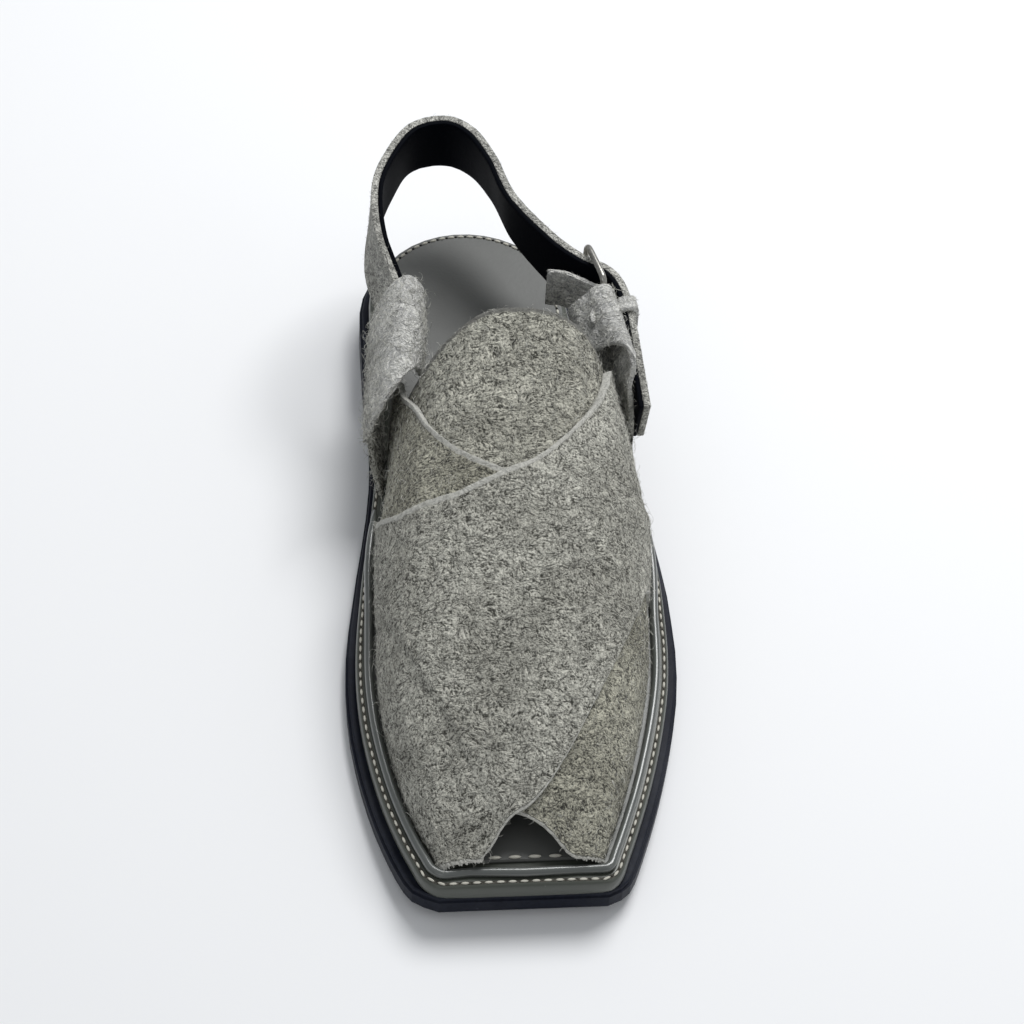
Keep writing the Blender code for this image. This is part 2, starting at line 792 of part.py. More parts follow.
def strap_place(at):
    """Middle, direction outwards, upward direction and width of the strap."""
    here = along_path(STRAP_ROWS, at)
    last = len(STRAP_ROWS) - 1
    ahead = along_path(STRAP_ROWS, min(at + PATH_STEP, last))
    behind = along_path(STRAP_ROWS, max(at - PATH_STEP, 0))
    along = Vector(ahead[:3] - behind[:3]).normalized()
    level_out = along.cross(Vector((0, 0, -1))).normalized()
    up = level_out.cross(along).normalized()
    if up.z < 0:
        up = -up
    lean = float(here[3])
    tilted = up * math.cos(lean) - level_out * math.sin(lean)
    out = level_out * math.cos(lean) + up * math.sin(lean)
    return Vector(here[:3]), out, tilted, float(here[4])


def strap_section(at, extra, bevel):
    """Closed section round the strap, larger by extra on each side."""
    middle, out, up, width = strap_place(at)
    half, thick = width / 2 + extra, STRAP_THICKNESS / 2 + extra
    corners = [
        (thick, half - bevel), (thick - bevel, half), (bevel - thick, half), (-thick, half - bevel),
        (-thick, bevel - half), (bevel - thick, -half), (thick - bevel, -half), (thick, bevel - half),
    ]
    return [middle + out * a + up * b for a, b in corners]


def make_strap(material):
    spans = len(STRAP_ROWS) - 1
    places = [spans * i / (STRAP_SECTIONS - 1) for i in range(STRAP_SECTIONS)]
    sections = [strap_section(place, 0.0, STRAP_BEVEL) for place in places]
    strap = tube("heel_strap", sections, material)
    cutter = wire_tube("prong_hole", prong_line(), HOLE_RADIUS, material)
    cut(strap, cutter)
    return strap


def cut(piece, cutter):
    """Take a hidden cutter out of a piece."""
    cutter.hide_render = True
    cutter.display_type = "WIRE"
    modifier = piece.modifiers.new("cut", "BOOLEAN")
    modifier.operation = "DIFFERENCE"
    modifier.solver = "EXACT"
    modifier.object = cutter


def prong_line():
    """Straight run of the prong, from the front bar to past the rear one."""
    rear, front = bar_points()
    level = (rear - front).normalized()
    out = level_out(level)
    start = front + out * HOOK_RADIUS + level * HOOK_RADIUS * HOOK_LEAD
    reach = (rear - front).length + WIRE_RADIUS - HOOK_RADIUS * HOOK_LEAD
    return [start, start + level * reach * 0.5, start + level * reach]


def level_out(level):
    """Level direction square to another, towards the lateral side."""
    out = Vector((0, 0, 1)).cross(level)
    return out if out.x > 0 else -out


def make_keeper(material):
    """Band of suede round the strap's tail, open along the strap."""
    work = bmesh.new()
    rings = []
    for extra, bevel in ((FIT_GAP, STRAP_BEVEL), (FIT_GAP + KEEPER_WALL, KEEPER_BEVEL)):
        rings.append([strap_section(at, extra, bevel) for at in KEEPER_AT])
    inner = [[work.verts.new(point) for point in section] for section in rings[0]]
    outer = [[work.verts.new(point) for point in section] for section in rings[1]]
    count = len(inner[0])
    for i in range(count):
        j = (i + 1) % count
        work.faces.new((inner[0][i], inner[0][j], inner[1][j], inner[1][i]))
        work.faces.new((outer[0][i], outer[0][j], outer[1][j], outer[1][i]))
        for end in (0, 1):
            work.faces.new((inner[end][i], inner[end][j], outer[end][j], outer[end][i]))
    return add_piece("keeper", work, material)


def make_loop(side, material):
    """Suede panel from the platform up, folded over as a tunnel."""
    span = LOOP_SPANS[side]
    rows = [(row["height"], row["out"] * LOOP_DEPTH, row["tuck"]) for row in LOOP_PATHS[side]]
    foot = rows[0][1]
    line = through(rows, LOOP_POINTS)
    sections = []
    for i in range(LOOP_STEPS + 1):
        share = i / LOOP_STEPS
        middle = []
        for height, out, tuck in line:
            bulge = max(out - foot, 0.0) * (1 - share) * (span["front_bulge"] - 1)
            front = span["front_base"] + (span["front_top"] - span["front_base"]) * height + tuck
            rear = span["rear_base"] + (span["rear_top"] - span["rear_base"]) * height
            station = front + (rear - front) * share
            y = station_y(station)
            base = midsole_top(station) + FIT_GAP
            x = edge_x(side, y, FEATHER_INSET) + SIGNS[side] * (out + bulge)
            middle.append(Vector((x, y, base + height * (LOOP_HEIGHT - base))))
        sections.append(wall_section(middle, LOOP_WALL))
    return tube(side + "_loop", sections, material)


def wall_section(middle, wall):
    """Closed section of a wall that follows a line across the shoe."""
    faces = [[], []]
    for i, point in enumerate(middle):
        along = middle[min(i + 1, len(middle) - 1)] - middle[max(i - 1, 0)]
        if i == 0:
            along.x = 0.0
        normal = Vector((-along.z, 0, along.x)).normalized() * wall / 2
        faces[0].append(point + normal)
        faces[1].append(point - normal)
    return faces[0] + faces[1][::-1]


def bar_points():
    """Middles of the buckle's rear and front bars."""
    middle, out, up, width = strap_place(REAR_BAR_AT)
    rear = middle + out * (STRAP_THICKNESS / 2 + BAR_GAP + WIRE_RADIUS)
    middle, out, up, width = strap_place(FRONT_BAR_AT)
    clearance = STRAP_THICKNESS / 2 + WIRE_RADIUS + CHAPE_WALL + FIT_GAP + BAR_GAP
    front = middle - out * clearance
    front.z = rear.z
    return rear, front


def wire_tube(name, path, radius, material, sides=WIRE_SIDES):
    """Solid wire along a path that stays level."""
    sections = []
    for i, centre in enumerate(path):
        along = (path[min(i + 1, len(path) - 1)] - path[max(i - 1, 0)]).normalized()
        side = along.cross(Vector((0, 0, 1))).normalized()
        up = side.cross(along)
        turns = [2 * math.pi * k / sides for k in range(sides)]
        section = [centre + side * radius * math.cos(a) + up * radius * math.sin(a) for a in turns]
        sections.append(section)
    return tube(name, sections, material)


def make_buckle(material):
    """Wire frame with round corners, in the upright plane of its two bars."""
    rear, front = bar_points()
    level = (front - rear).normalized()
    out = level.cross(Vector((0, 0, 1)))
    half_length = (front - rear).length / 2
    half_height = STRAP_WIDTH / 2 + WIRE_RADIUS + 3 * FIT_GAP
    centre = (rear + front) / 2
    path = []
    corner = BUCKLE_CORNER
    for quarter in range(4):
        for k in range(CORNER_POINTS):
            angle = math.pi / 2 * (quarter + k / (CORNER_POINTS - 1))
            sign_x = 1 if math.cos(math.pi / 2 * (quarter + 0.5)) > 0 else -1
            sign_z = 1 if math.sin(math.pi / 2 * (quarter + 0.5)) > 0 else -1
            along = sign_x * (half_length - corner) + corner * math.cos(angle)
            up = sign_z * (half_height - corner) + corner * math.sin(angle)
            path.append((along, up))
    work = bmesh.new()
    sections = []
    count = len(path)
    for i, (along, up) in enumerate(path):
        ahead, behind = path[(i + 1) % count], path[i - 1]
        direction = Vector((ahead[0] - behind[0], ahead[1] - behind[1])).normalized()
        normal = level * direction.y - Vector((0, 0, 1)) * direction.x
        middle = centre + level * along + Vector((0, 0, up))
        section = []
        for k in range(WIRE_SIDES):
            angle = 2 * math.pi * k / WIRE_SIDES
            radial = normal * math.cos(angle) + out * math.sin(angle)
            section.append(work.verts.new(middle + radial * WIRE_RADIUS))
        sections.append(section)
    for i in range(count):
        near, far = sections[i], sections[(i + 1) % count]
        for k in range(WIRE_SIDES):
            m = (k + 1) % WIRE_SIDES
            work.faces.new((near[k], near[m], far[m], far[k]))
    return add_piece("buckle_frame", work, material)


def make_prong(material):
    """Steel tongue, hooked round the front bar, through the strap onto the rear bar."""
    rear, front = bar_points()
    level = (rear - front).normalized()
    out = level_out(level)
    path = []
    for degrees in HOOK_BEND:
        angle = math.radians(degrees)
        path.append(front + (level * math.cos(angle) + out * math.sin(angle)) * HOOK_RADIUS)
    path += prong_line()
    return wire_tube("buckle_prong", path, PRONG_RADIUS, material, PRONG_SIDES)


def make_chape(material):
    """Suede strip from the lateral loop round the front bar to a free flap."""
    rear, front = bar_points()
    bend = WIRE_RADIUS + FIT_GAP + CHAPE_WALL / 2
    plan = [(row["x"] * BUCKLE_LENGTH, row["y"] * BUCKLE_LENGTH) for row in CHAPE_ENDS]
    for degrees in CHAPE_BEND:
        angle = math.radians(degrees)
        plan.append((bend * math.cos(angle), bend * math.sin(angle)))
    plan += [(row["x"] * BUCKLE_LENGTH, row["y"] * BUCKLE_LENGTH) for row in CHAPE_FLAP]
    line = through(plan, CHAPE_SECTIONS)
    sections = []
    for i, (x, y) in enumerate(line):
        ahead, behind = line[min(i + 1, len(line) - 1)], line[max(i - 1, 0)]
        along = Vector((ahead[0] - behind[0], ahead[1] - behind[1])).normalized()
        across = Vector((along.y, -along.x, 0)) * CHAPE_WALL / 2
        middle = Vector((front.x + x, front.y + y, front.z))
        low, high = Vector((0, 0, -CHAPE_HEIGHT / 2)), Vector((0, 0, CHAPE_HEIGHT / 2))
        section = [middle + across + low, middle + across + high]
        sections.append(section + [middle - across + high, middle - across + low])
    strip = tube("chape", sections, material)
    work = bmesh.new()
    bmesh.ops.create_cube(work, size=1.0)
    bmesh.ops.scale(work, vec=(SLOT_REACH, SLOT_REACH, SLOT_HEIGHT), verts=work.verts)
    shift = Vector((SLOT_SHIFT, SLOT_SHIFT, 0))
    bmesh.ops.translate(work, vec=front + shift, verts=work.verts)
    cut(strip, add_piece("prong_slot", work, material))
    return strip


def main():
    for leftover in list(bpy.data.objects):
        bpy.data.objects.remove(leftover)
    suede = finish("suede", (0.25, 0.24, 0.21), 0.95)
    make_outsole(finish("rubber", (0.012, 0.014, 0.022), 0.55))
    make_midsole(finish("platform_leather", (0.10, 0.105, 0.09), 0.45))
    make_insole(finish("insole_leather", (0.085, 0.09, 0.08), 0.5))
    make_rand(finish("rand_leather", (0.10, 0.10, 0.09), 0.3))
    make_tongue(suede)
    make_upper(suede)
    for side in ("medial", "lateral"):
        make_loop(side, suede)
    make_strap(suede)
    make_keeper(suede)
    make_chape(suede)
    steel = finish("steel", (0.42, 0.41, 0.39), 0.35, 1.0)
    make_buckle(steel)
    make_prong(steel)


main()
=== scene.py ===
"""Peshawari chappal, left shoe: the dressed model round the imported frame.

Metres, +Z up. The toe points to -Y and the lateral side to +X.
"""
import json
import math

import bmesh
import bpy
import numpy as np
from mathutils import Matrix, Vector, noise
from mathutils.bvhtree import BVHTree

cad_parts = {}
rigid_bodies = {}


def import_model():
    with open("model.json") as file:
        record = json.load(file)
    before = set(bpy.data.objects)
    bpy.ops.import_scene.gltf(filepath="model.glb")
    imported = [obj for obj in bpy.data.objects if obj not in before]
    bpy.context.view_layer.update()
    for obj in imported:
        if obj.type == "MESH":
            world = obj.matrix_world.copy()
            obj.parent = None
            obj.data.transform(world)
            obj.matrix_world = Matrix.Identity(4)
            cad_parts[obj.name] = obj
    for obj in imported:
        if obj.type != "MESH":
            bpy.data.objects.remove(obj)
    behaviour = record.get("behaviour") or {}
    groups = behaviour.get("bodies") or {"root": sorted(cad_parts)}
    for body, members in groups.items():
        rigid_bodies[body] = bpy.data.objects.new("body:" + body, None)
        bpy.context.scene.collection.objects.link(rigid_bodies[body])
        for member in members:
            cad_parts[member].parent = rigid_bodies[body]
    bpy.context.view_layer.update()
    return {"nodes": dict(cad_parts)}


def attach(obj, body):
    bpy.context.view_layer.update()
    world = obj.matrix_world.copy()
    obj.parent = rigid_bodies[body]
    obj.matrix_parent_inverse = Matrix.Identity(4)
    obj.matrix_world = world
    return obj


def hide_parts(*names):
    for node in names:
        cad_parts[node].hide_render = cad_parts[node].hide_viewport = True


bl_info = {
    "name": "Peshawari Chappal",
    "version": (1, 0, 0),
    "blender": (4, 5, 0),
    "location": "View3D > Sidebar > Chappal",
    "description": "Dresses the chappal's solids with suede, leather, stitches and light",
    "category": "Object",
}

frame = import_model()
NODES = frame["nodes"]

# Main sizes of the shoe, in metres, as its solids have them
SOLE_LENGTH = 0.296
BALL_WIDTH = 0.112
HEEL_WIDTH = 0.079
INSTEP_HEIGHT = 0.079
STRAP_HEIGHT = 0.082
OUTSOLE_THICKNESS = 0.008
HEEL_RISE = 0.009
TOE_SPRING = 0.004
MIDSOLE_THICKNESS = 0.0062
FIT_GAP = 0.0003
SKIN_GAP = 0.00045
UNDER_WALL = 0.0018
OVER_WALL = 0.0023
BAND_BITE = 0.0005
TONGUE_WALL = 0.0016
FEATHER_INSET = 0.0124
TOE_SHARE = 0.62
STRAP_WIDTH = 0.0235
STRAP_THICKNESS = 0.0042
DENSE_POINTS = 400
FRONT_POINTS = 30
LAST_STEP = 0.003
PATH_STEP = 0.05

# Half widths of the sole. station: share of SOLE_LENGTH from the toe.
# medial, lateral: shares of BALL_WIDTH
FOREFOOT = (
    dict(station=0.000, medial=0.225, lateral=0.255),
    dict(station=0.008, medial=0.269, lateral=0.298),
    dict(station=0.018, medial=0.303, lateral=0.324),
    dict(station=0.035, medial=0.326, lateral=0.345),
    dict(station=0.069, medial=0.359, lateral=0.379),
    dict(station=0.126, medial=0.401, lateral=0.431),
    dict(station=0.180, medial=0.429, lateral=0.473),
    dict(station=0.235, medial=0.448, lateral=0.509),
    dict(station=0.292, medial=0.455, lateral=0.536),
    dict(station=0.350, medial=0.449, lateral=0.547),
    dict(station=0.410, medial=0.428, lateral=0.547),
)
# The same behind the ball. medial, lateral: shares of HEEL_WIDTH
HINDFOOT = (
    dict(station=0.471, medial=0.572, lateral=0.760),
    dict(station=0.532, medial=0.532, lateral=0.732),
    dict(station=0.596, medial=0.500, lateral=0.686),
    dict(station=0.660, medial=0.490, lateral=0.627),
    dict(station=0.728, medial=0.496, lateral=0.570),
    dict(station=0.796, medial=0.501, lateral=0.525),
    dict(station=0.866, medial=0.500, lateral=0.500),
)
HEEL_CENTRE = 0.866
# The layers step back less at the waist too. share: of a layer's full inset
INSET_SHARES = (
    dict(station=0.00, share=1.00),
    dict(station=0.34, share=1.00),
    dict(station=0.50, share=0.68),
    dict(station=0.70, share=0.66),
    dict(station=0.84, share=1.00),
    dict(station=1.00, share=1.00),
)
# Bottom of the sole. spring: share of TOE_SPRING, rise: share of HEEL_RISE
SOLE_HEIGHTS = (
    dict(station=0.00, spring=1.00, rise=0.00),
    dict(station=0.07, spring=0.50, rise=0.00),
    dict(station=0.14, spring=0.14, rise=0.00),
    dict(station=0.22, spring=0.00, rise=0.00),
    dict(station=0.42, spring=0.00, rise=0.00),
    dict(station=0.52, spring=0.00, rise=0.18),
    dict(station=0.62, spring=0.00, rise=0.58),
    dict(station=0.70, spring=0.00, rise=0.88),
    dict(station=0.80, spring=0.00, rise=1.00),
    dict(station=1.00, spring=0.00, rise=1.00),
)

# Ridge of the last. height: share of INSTEP_HEIGHT above the floor.
# lean: how far the ridge moves to the lateral side, a share of BALL_WIDTH.
# power: of the superellipse that the section follows, boxier when higher
RIDGE = (
    dict(station=0.0235, height=0.266, lean=0.000, power=3.0),
    dict(station=0.062, height=0.380, lean=0.000, power=2.9),
    dict(station=0.120, height=0.480, lean=0.000, power=2.7),
    dict(station=0.200, height=0.575, lean=0.000, power=2.5),
    dict(station=0.290, height=0.650, lean=0.000, power=2.5),
    dict(station=0.380, height=0.725, lean=0.000, power=2.5),
    dict(station=0.460, height=0.795, lean=0.010, power=2.5),
    dict(station=0.560, height=0.885, lean=0.028, power=2.5),
    dict(station=0.655, height=1.000, lean=0.057, power=2.4),
    dict(station=0.700, height=1.040, lean=0.066, power=2.4),
)

# Edges of the two bands. turn: place across the last, 0 at the medial feather
# and 1 at the lateral one. The others are shares of SOLE_LENGTH from the toe.
# At the V and at the lower band's medial corner they stand up to 3 mm off the solids.
OVER_BAND = (
    dict(turn=0.00, front=0.029, rear=0.500),
    dict(turn=0.12, front=0.029, rear=0.460),
    dict(turn=0.23, front=0.029, rear=0.435),
    dict(turn=0.37, front=0.029, rear=0.430),
    dict(turn=0.43, front=0.040, rear=0.439),
    dict(turn=0.49, front=0.061, rear=0.455),
    dict(turn=0.55, front=0.087, rear=0.482),
    dict(turn=0.62, front=0.130, rear=0.520),
    dict(turn=0.68, front=0.181, rear=0.553),
    dict(turn=0.74, front=0.240, rear=0.590),
    dict(turn=0.80, front=0.300, rear=0.625),
    dict(turn=0.87, front=0.350, rear=0.645),
    dict(turn=1.00, front=0.385, rear=0.655),
)
UNDER_BAND = (
    dict(turn=0.00, front=0.385, rear=0.615),
    dict(turn=0.05, front=0.378, rear=0.657),
    dict(turn=0.085, front=0.364, rear=0.668),
    dict(turn=0.12, front=0.350, rear=0.632),
    dict(turn=0.20, front=0.300, rear=0.585),
    dict(turn=0.27, front=0.235, rear=0.541),
    dict(turn=0.39, front=0.130, rear=0.484),
    dict(turn=0.49, front=0.065, rear=0.453),
    dict(turn=0.56, front=0.048, rear=0.438),
    dict(turn=0.63, front=0.035, rear=0.433),
    dict(turn=0.69, front=0.029, rear=0.430),
    dict(turn=0.80, front=0.029, rear=0.440),
    dict(turn=1.00, front=0.029, rear=0.490),
)
# How far the top band takes to climb onto the lower one, along the foot
CLIMB = 0.028
# Walls are thinner at the toe, where the bands are lasted over its corners
TOE_SKIVE = 0.62
TOE_SKIVE_LENGTH = 0.06
# Share of the top band's lift left at the feather line, and the turns it grows over
LOW_LIFT = 0.25
LOW_TURNS = 0.10
# Rim of the tongue, over the same turns
TONGUE_RIM = (
    dict(turn=0.05, rear=0.628),
    dict(turn=0.14, rear=0.627),
    dict(turn=0.30, rear=0.644),
    dict(turn=0.45, rear=0.659),
    dict(turn=0.60, rear=0.655),
    dict(turn=0.75, rear=0.650),
    dict(turn=0.86, rear=0.640),
)
TONGUE_FRONT = 0.415
# Middle line of the heel strap, from its hidden end in the medial loop round the
# heel to the end of its tail. x, y, z: shares of HEEL_WIDTH, SOLE_LENGTH and
# STRAP_HEIGHT. lean: degrees that its top edge leans inwards. width: share of
# STRAP_WIDTH
STRAP_PATH = (
    dict(x=-0.342, y=-0.196, z=0.520, lean=15, width=0.78),
    dict(x=-0.346, y=-0.142, z=0.560, lean=16, width=0.80),
    dict(x=-0.367, y=-0.095, z=0.588, lean=15, width=0.82),
    dict(x=-0.432, y=-0.034, z=0.695, lean=9, width=0.92),
    dict(x=-0.424, y=0.027, z=0.765, lean=3, width=1.00),
    dict(x=-0.358, y=0.075, z=0.802, lean=4, width=1.00),
    dict(x=-0.253, y=0.117, z=0.824, lean=8, width=1.00),
    dict(x=-0.092, y=0.129, z=0.826, lean=8, width=1.00),
    dict(x=0.030, y=0.112, z=0.812, lean=9, width=1.00),
    dict(x=0.120, y=0.073, z=0.782, lean=10, width=1.00),
    dict(x=0.203, y=0.018, z=0.728, lean=11, width=1.00),
    dict(x=0.349, y=-0.032, z=0.665, lean=8, width=1.00),
    dict(x=0.475, y=-0.0635, z=0.625, lean=3, width=1.00),
    dict(x=0.582, y=-0.084, z=0.615, lean=0, width=1.00),
    dict(x=0.637, y=-0.107, z=0.608, lean=0, width=0.98),
    dict(x=0.660, y=-0.140, z=0.600, lean=0, width=0.96),
    dict(x=0.672, y=-0.183, z=0.570, lean=0, width=0.94),
    dict(x=0.684, y=-0.226, z=0.530, lean=0, width=0.92),
    dict(x=0.696, y=-0.268, z=0.490, lean=0, width=0.90),
)


class Curve:
    """Smooth curve through two columns of a table that never overshoots."""

    def __init__(self, places, values):
        self.places = np.array(places, float)
        self.values = np.array(values, float)
        steps = np.diff(self.places)
        rates = np.diff(self.values) / steps
        slopes = np.zeros(len(self.places))
        for i in range(1, len(slopes) - 1):
            if rates[i - 1] * rates[i] > 0:
                before = 2 * steps[i] + steps[i - 1]
                after = steps[i] + 2 * steps[i - 1]
                slopes[i] = (before + after) / (before / rates[i - 1] + after / rates[i])
        slopes[0] = rates[0]
        slopes[-1] = rates[-1]
        self.slopes = slopes

    def __call__(self, at):
        at = float(np.clip(at, self.places[0], self.places[-1]))
        i = int(np.clip(np.searchsorted(self.places, at) - 1, 0, len(self.places) - 2))
        step = self.places[i + 1] - self.places[i]
        t = (at - self.places[i]) / step
        return float(
            self.values[i] * (1 + 2 * t) * (1 - t) ** 2
            + self.slopes[i] * step * t * (1 - t) ** 2
            + self.values[i + 1] * t * t * (3 - 2 * t)
            + self.slopes[i + 1] * step * t * t * (t - 1)
        )


def column(table, place, value, scale=1.0):
    """Curve through one column of a table, scaled to a named size."""
    return Curve([row[place] for row in table], [row[value] * scale for row in table])


def smooth(value):
    """Ease from 0 to 1."""
    value = min(max(value, 0.0), 1.0)
    return value * value * (3 - 2 * value)


def station_y(station):
    """Place along the foot of a share of the length from the toe."""
    return (station - HEEL_CENTRE) * SOLE_LENGTH


def half_width(side):
    """Half width of the sole on one side, over the station."""
    rows = [(row["station"], row[side] * BALL_WIDTH) for row in FOREFOOT]
    rows += [(row["station"], row[side] * HEEL_WIDTH) for row in HINDFOOT]
    body = Curve([row[0] for row in rows], [row[1] for row in rows])
    heel_radius = HEEL_WIDTH / 2
    heel_share = 1 - HEEL_CENTRE

    def width(station):
        if station <= HEEL_CENTRE:
            return body(station)
        along = min((station - HEEL_CENTRE) / heel_share, 1.0)
        return heel_radius * math.sqrt(1 - along * along)

    return width


INSET_SHARE = column(INSET_SHARES, "station", "share")
HALF_WIDTHS = {"medial": half_width("medial"), "lateral": half_width("lateral")}
SIGNS = {"medial": -1, "lateral": 1}


def side_line(side, inset, step=0.0):
    """Dense line of one side, moved inwards by the shared inset, then out by the step."""
    width = HALF_WIDTHS[side]
    turns = [math.pi * i / (DENSE_POINTS - 1) for i in range(DENSE_POINTS)]
    stations = [0.0] * FRONT_POINTS + [(1 - math.cos(turn)) / 2 for turn in turns]
    xs = np.array([width(station) for station in stations])
    xs[:FRONT_POINTS] = np.linspace(0, xs[0], FRONT_POINTS, endpoint=False)
    ys = np.array([station_y(station) for station in stations])
    along_x, along_y = np.gradient(xs), np.gradient(ys)
    size = np.hypot(along_x, along_y)
    moved = inset * np.array([INSET_SHARE(station) for station in stations]) - step
    new_x = xs - moved * along_y / size
    new_y = ys + moved * np.where(along_x > 0, TOE_SHARE, 1.0) * along_x / size
    back = station_y(1.0) - inset + step
    keep = (new_x >= 0) & (new_y <= back)
    new_x, new_y = new_x[keep], new_y[keep]
    new_x = np.append(new_x, 0.0)
    new_y = np.append(np.maximum.accumulate(new_y), back)
    return new_y, new_x


LINES = {}


def edge_x(side, y, inset, step=0.0):
    """Place across of one side's edge at y, moved inwards by the inset."""
    key = (side, round(inset, 6), round(step, 6))
    if key not in LINES:
        LINES[key] = side_line(side, inset, step)
    ys, xs = LINES[key]
    return SIGNS[side] * float(np.interp(y, ys, xs))


# Heights of the sole's layers
SPRING = column(SOLE_HEIGHTS, "station", "spring", TOE_SPRING)
RISE = column(SOLE_HEIGHTS, "station", "rise", HEEL_RISE)


def waist_height(station):
    """Lower face of the sole without its heel block."""
    return SPRING(station) + RISE(station)


def outsole_top(station):
    return waist_height(station) + OUTSOLE_THICKNESS


def midsole_base(station):
    return outsole_top(station) + FIT_GAP


def midsole_top(station):
    return midsole_base(station) + MIDSOLE_THICKNESS


# The last: the inner face of the upper
RIDGE_HEIGHT = column(RIDGE, "station", "height", INSTEP_HEIGHT)
RIDGE_LEAN = column(RIDGE, "station", "lean", BALL_WIDTH)
SECTION_POWER = column(RIDGE, "station", "power")
LAST_FRONT = RIDGE[0]["station"]


def last_surface(station, turn):
    """Point on the last, without the normal offset."""
    y = station_y(station)
    base = midsole_top(station) + FIT_GAP
    left = edge_x("medial", y, FEATHER_INSET)
    right = edge_x("lateral", y, FEATHER_INSET)
    rise = RIDGE_HEIGHT(station) - base
    angle = math.pi * turn
    power = 2 / SECTION_POWER(station)
    across = -math.copysign(abs(math.cos(angle)) ** power, math.cos(angle))
    up = max(math.sin(angle), 0.0) ** power
    x = (left + right) / 2 + across * (right - left) / 2 + RIDGE_LEAN(station) * up
    return Vector((x, y, base + rise * up))


def last_point(station, turn, offset):
    """Point at an offset from the last, along its normal."""
    low, high = max(turn - LAST_STEP, 0.0), min(turn + LAST_STEP, 1.0)
    across = last_surface(station, high) - last_surface(station, low)
    along = last_surface(station + LAST_STEP, turn)
    along -= last_surface(max(station - LAST_STEP, LAST_FRONT), turn)
    normal = across.cross(along).normalized()
    if low == 0.0 or high == 1.0:
        normal.z = 0.0
        normal.normalize()
    return last_surface(station, turn) + normal * offset


OVER_FRONT = column(OVER_BAND, "turn", "front")
OVER_REAR = column(OVER_BAND, "turn", "rear")
UNDER_FRONT = column(UNDER_BAND, "turn", "front")
UNDER_REAR = column(UNDER_BAND, "turn", "rear")


def skive(turn):
    """Share of the lift that is left near the feather line."""
    return LOW_LIFT + (1 - LOW_LIFT) * smooth(min(turn, 1 - turn) / LOW_TURNS)


def toe_skive(station):
    """Share of the wall that is left near the toe."""
    return TOE_SKIVE + (1 - TOE_SKIVE) * smooth((station - LAST_FRONT) / TOE_SKIVE_LENGTH)


def over_lift(station, turn):
    """How far the top band's inner face stands off the last."""
    inside = min(station - UNDER_FRONT(turn), UNDER_REAR(turn) - station)
    blend = smooth(1 + inside / CLIMB)
    return blend * skive(turn) * (UNDER_WALL - BAND_BITE)


def over_face(station, turn):
    """How far the top band's outer face stands off the last."""
    return over_lift(station, turn) + OVER_WALL * toe_skive(station)


def along_path(points, at):
    """Point of a smooth line, at a place counted in its own points."""
    spans = len(points) - 1
    i = min(int(at), spans - 1)
    t = at - i
    ends = [points[max(i - 1, 0)], points[i], points[i + 1], points[min(i + 2, spans)]]
    before, start, stop, after = [np.array(end, float) for end in ends]
    return (
        start
        + 0.5 * t * (stop - before)
        + t * t * (before - 2.5 * start + 2 * stop - 0.5 * after)
        + t ** 3 * (1.5 * (start - stop) + 0.5 * (after - before))
    )


STRAP_ROWS = [
    (
        row["x"] * HEEL_WIDTH, row["y"] * SOLE_LENGTH, row["z"] * STRAP_HEIGHT,
        math.radians(row["lean"]), row["width"] * STRAP_WIDTH,
    )
    for row in STRAP_PATH
]


def strap_place(at):
    """Middle, direction outwards, upward direction and width of the strap."""
    here = along_path(STRAP_ROWS, at)
    last = len(STRAP_ROWS) - 1
    ahead = along_path(STRAP_ROWS, min(at + PATH_STEP, last))
    behind = along_path(STRAP_ROWS, max(at - PATH_STEP, 0))
    along = Vector(ahead[:3] - behind[:3]).normalized()
    level_out = along.cross(Vector((0, 0, -1))).normalized()
    up = level_out.cross(along).normalized()
    if up.z < 0:
        up = -up
    lean = float(here[3])
    tilted = up * math.cos(lean) - level_out * math.sin(lean)
    out = level_out * math.cos(lean) + up * math.sin(lean)
    return Vector(here[:3]), out, tilted, float(here[4])




# Settings in the sidebar
class ShoeSizes(bpy.types.PropertyGroup):
    """Sizes of the small things that are sewn or grown on the shoe."""

    stitch_pitch: bpy.props.FloatProperty(
        name="Stitch pitch", description="From one stitch of the welt to the next",
        default=0.0037, min=0.002, max=0.01, unit="LENGTH", precision=5,
    )
    stitch_length: bpy.props.FloatProperty(
        name="Stitch length", description="Length of one stitch of the welt",
        default=0.0027, min=0.001, max=0.01, unit="LENGTH", precision=5,
    )
    thread_radius: bpy.props.FloatProperty(
        name="Thread radius", description="Half the thickness of the thread",
        default=0.00042, min=0.0001, max=0.002, unit="LENGTH", precision=5,
    )
    welt_inset: bpy.props.FloatProperty(
        name="Welt inset", description="From the sole's edge to the row of stitches",
        default=0.0050, min=0.003, max=0.01, unit="LENGTH", precision=5,
    )
    heel_inset: bpy.props.FloatProperty(
        name="Heel inset", description="From the heel's edge to its row of stitches",
        default=0.0079, min=0.004, max=0.02, unit="LENGTH", precision=5,
    )
    fibre_length: bpy.props.FloatProperty(
        name="Fibre length", description="Length of a loose fibre of the suede",
        default=0.0030, min=0.0005, max=0.01, unit="LENGTH", precision=5,
    )
    fibre_radius: bpy.props.FloatProperty(
        name="Fibre radius", description="Half the thickness of a fibre at its root",
        default=0.00010, min=0.00002, max=0.0005, unit="LENGTH", precision=5,
    )
    nap_depth: bpy.props.FloatProperty(
        name="Nap depth", description="How far the suede's face rises and falls",
        default=0.00036, min=0.0, max=0.002, unit="LENGTH", precision=5,
    )


def colour_setting(name, description, default):
    """Colour that a user may change."""
    return bpy.props.FloatVectorProperty(
        name=name, description=description, default=default, subtype="COLOR", size=3,
        min=0.0, max=1.0,
    )


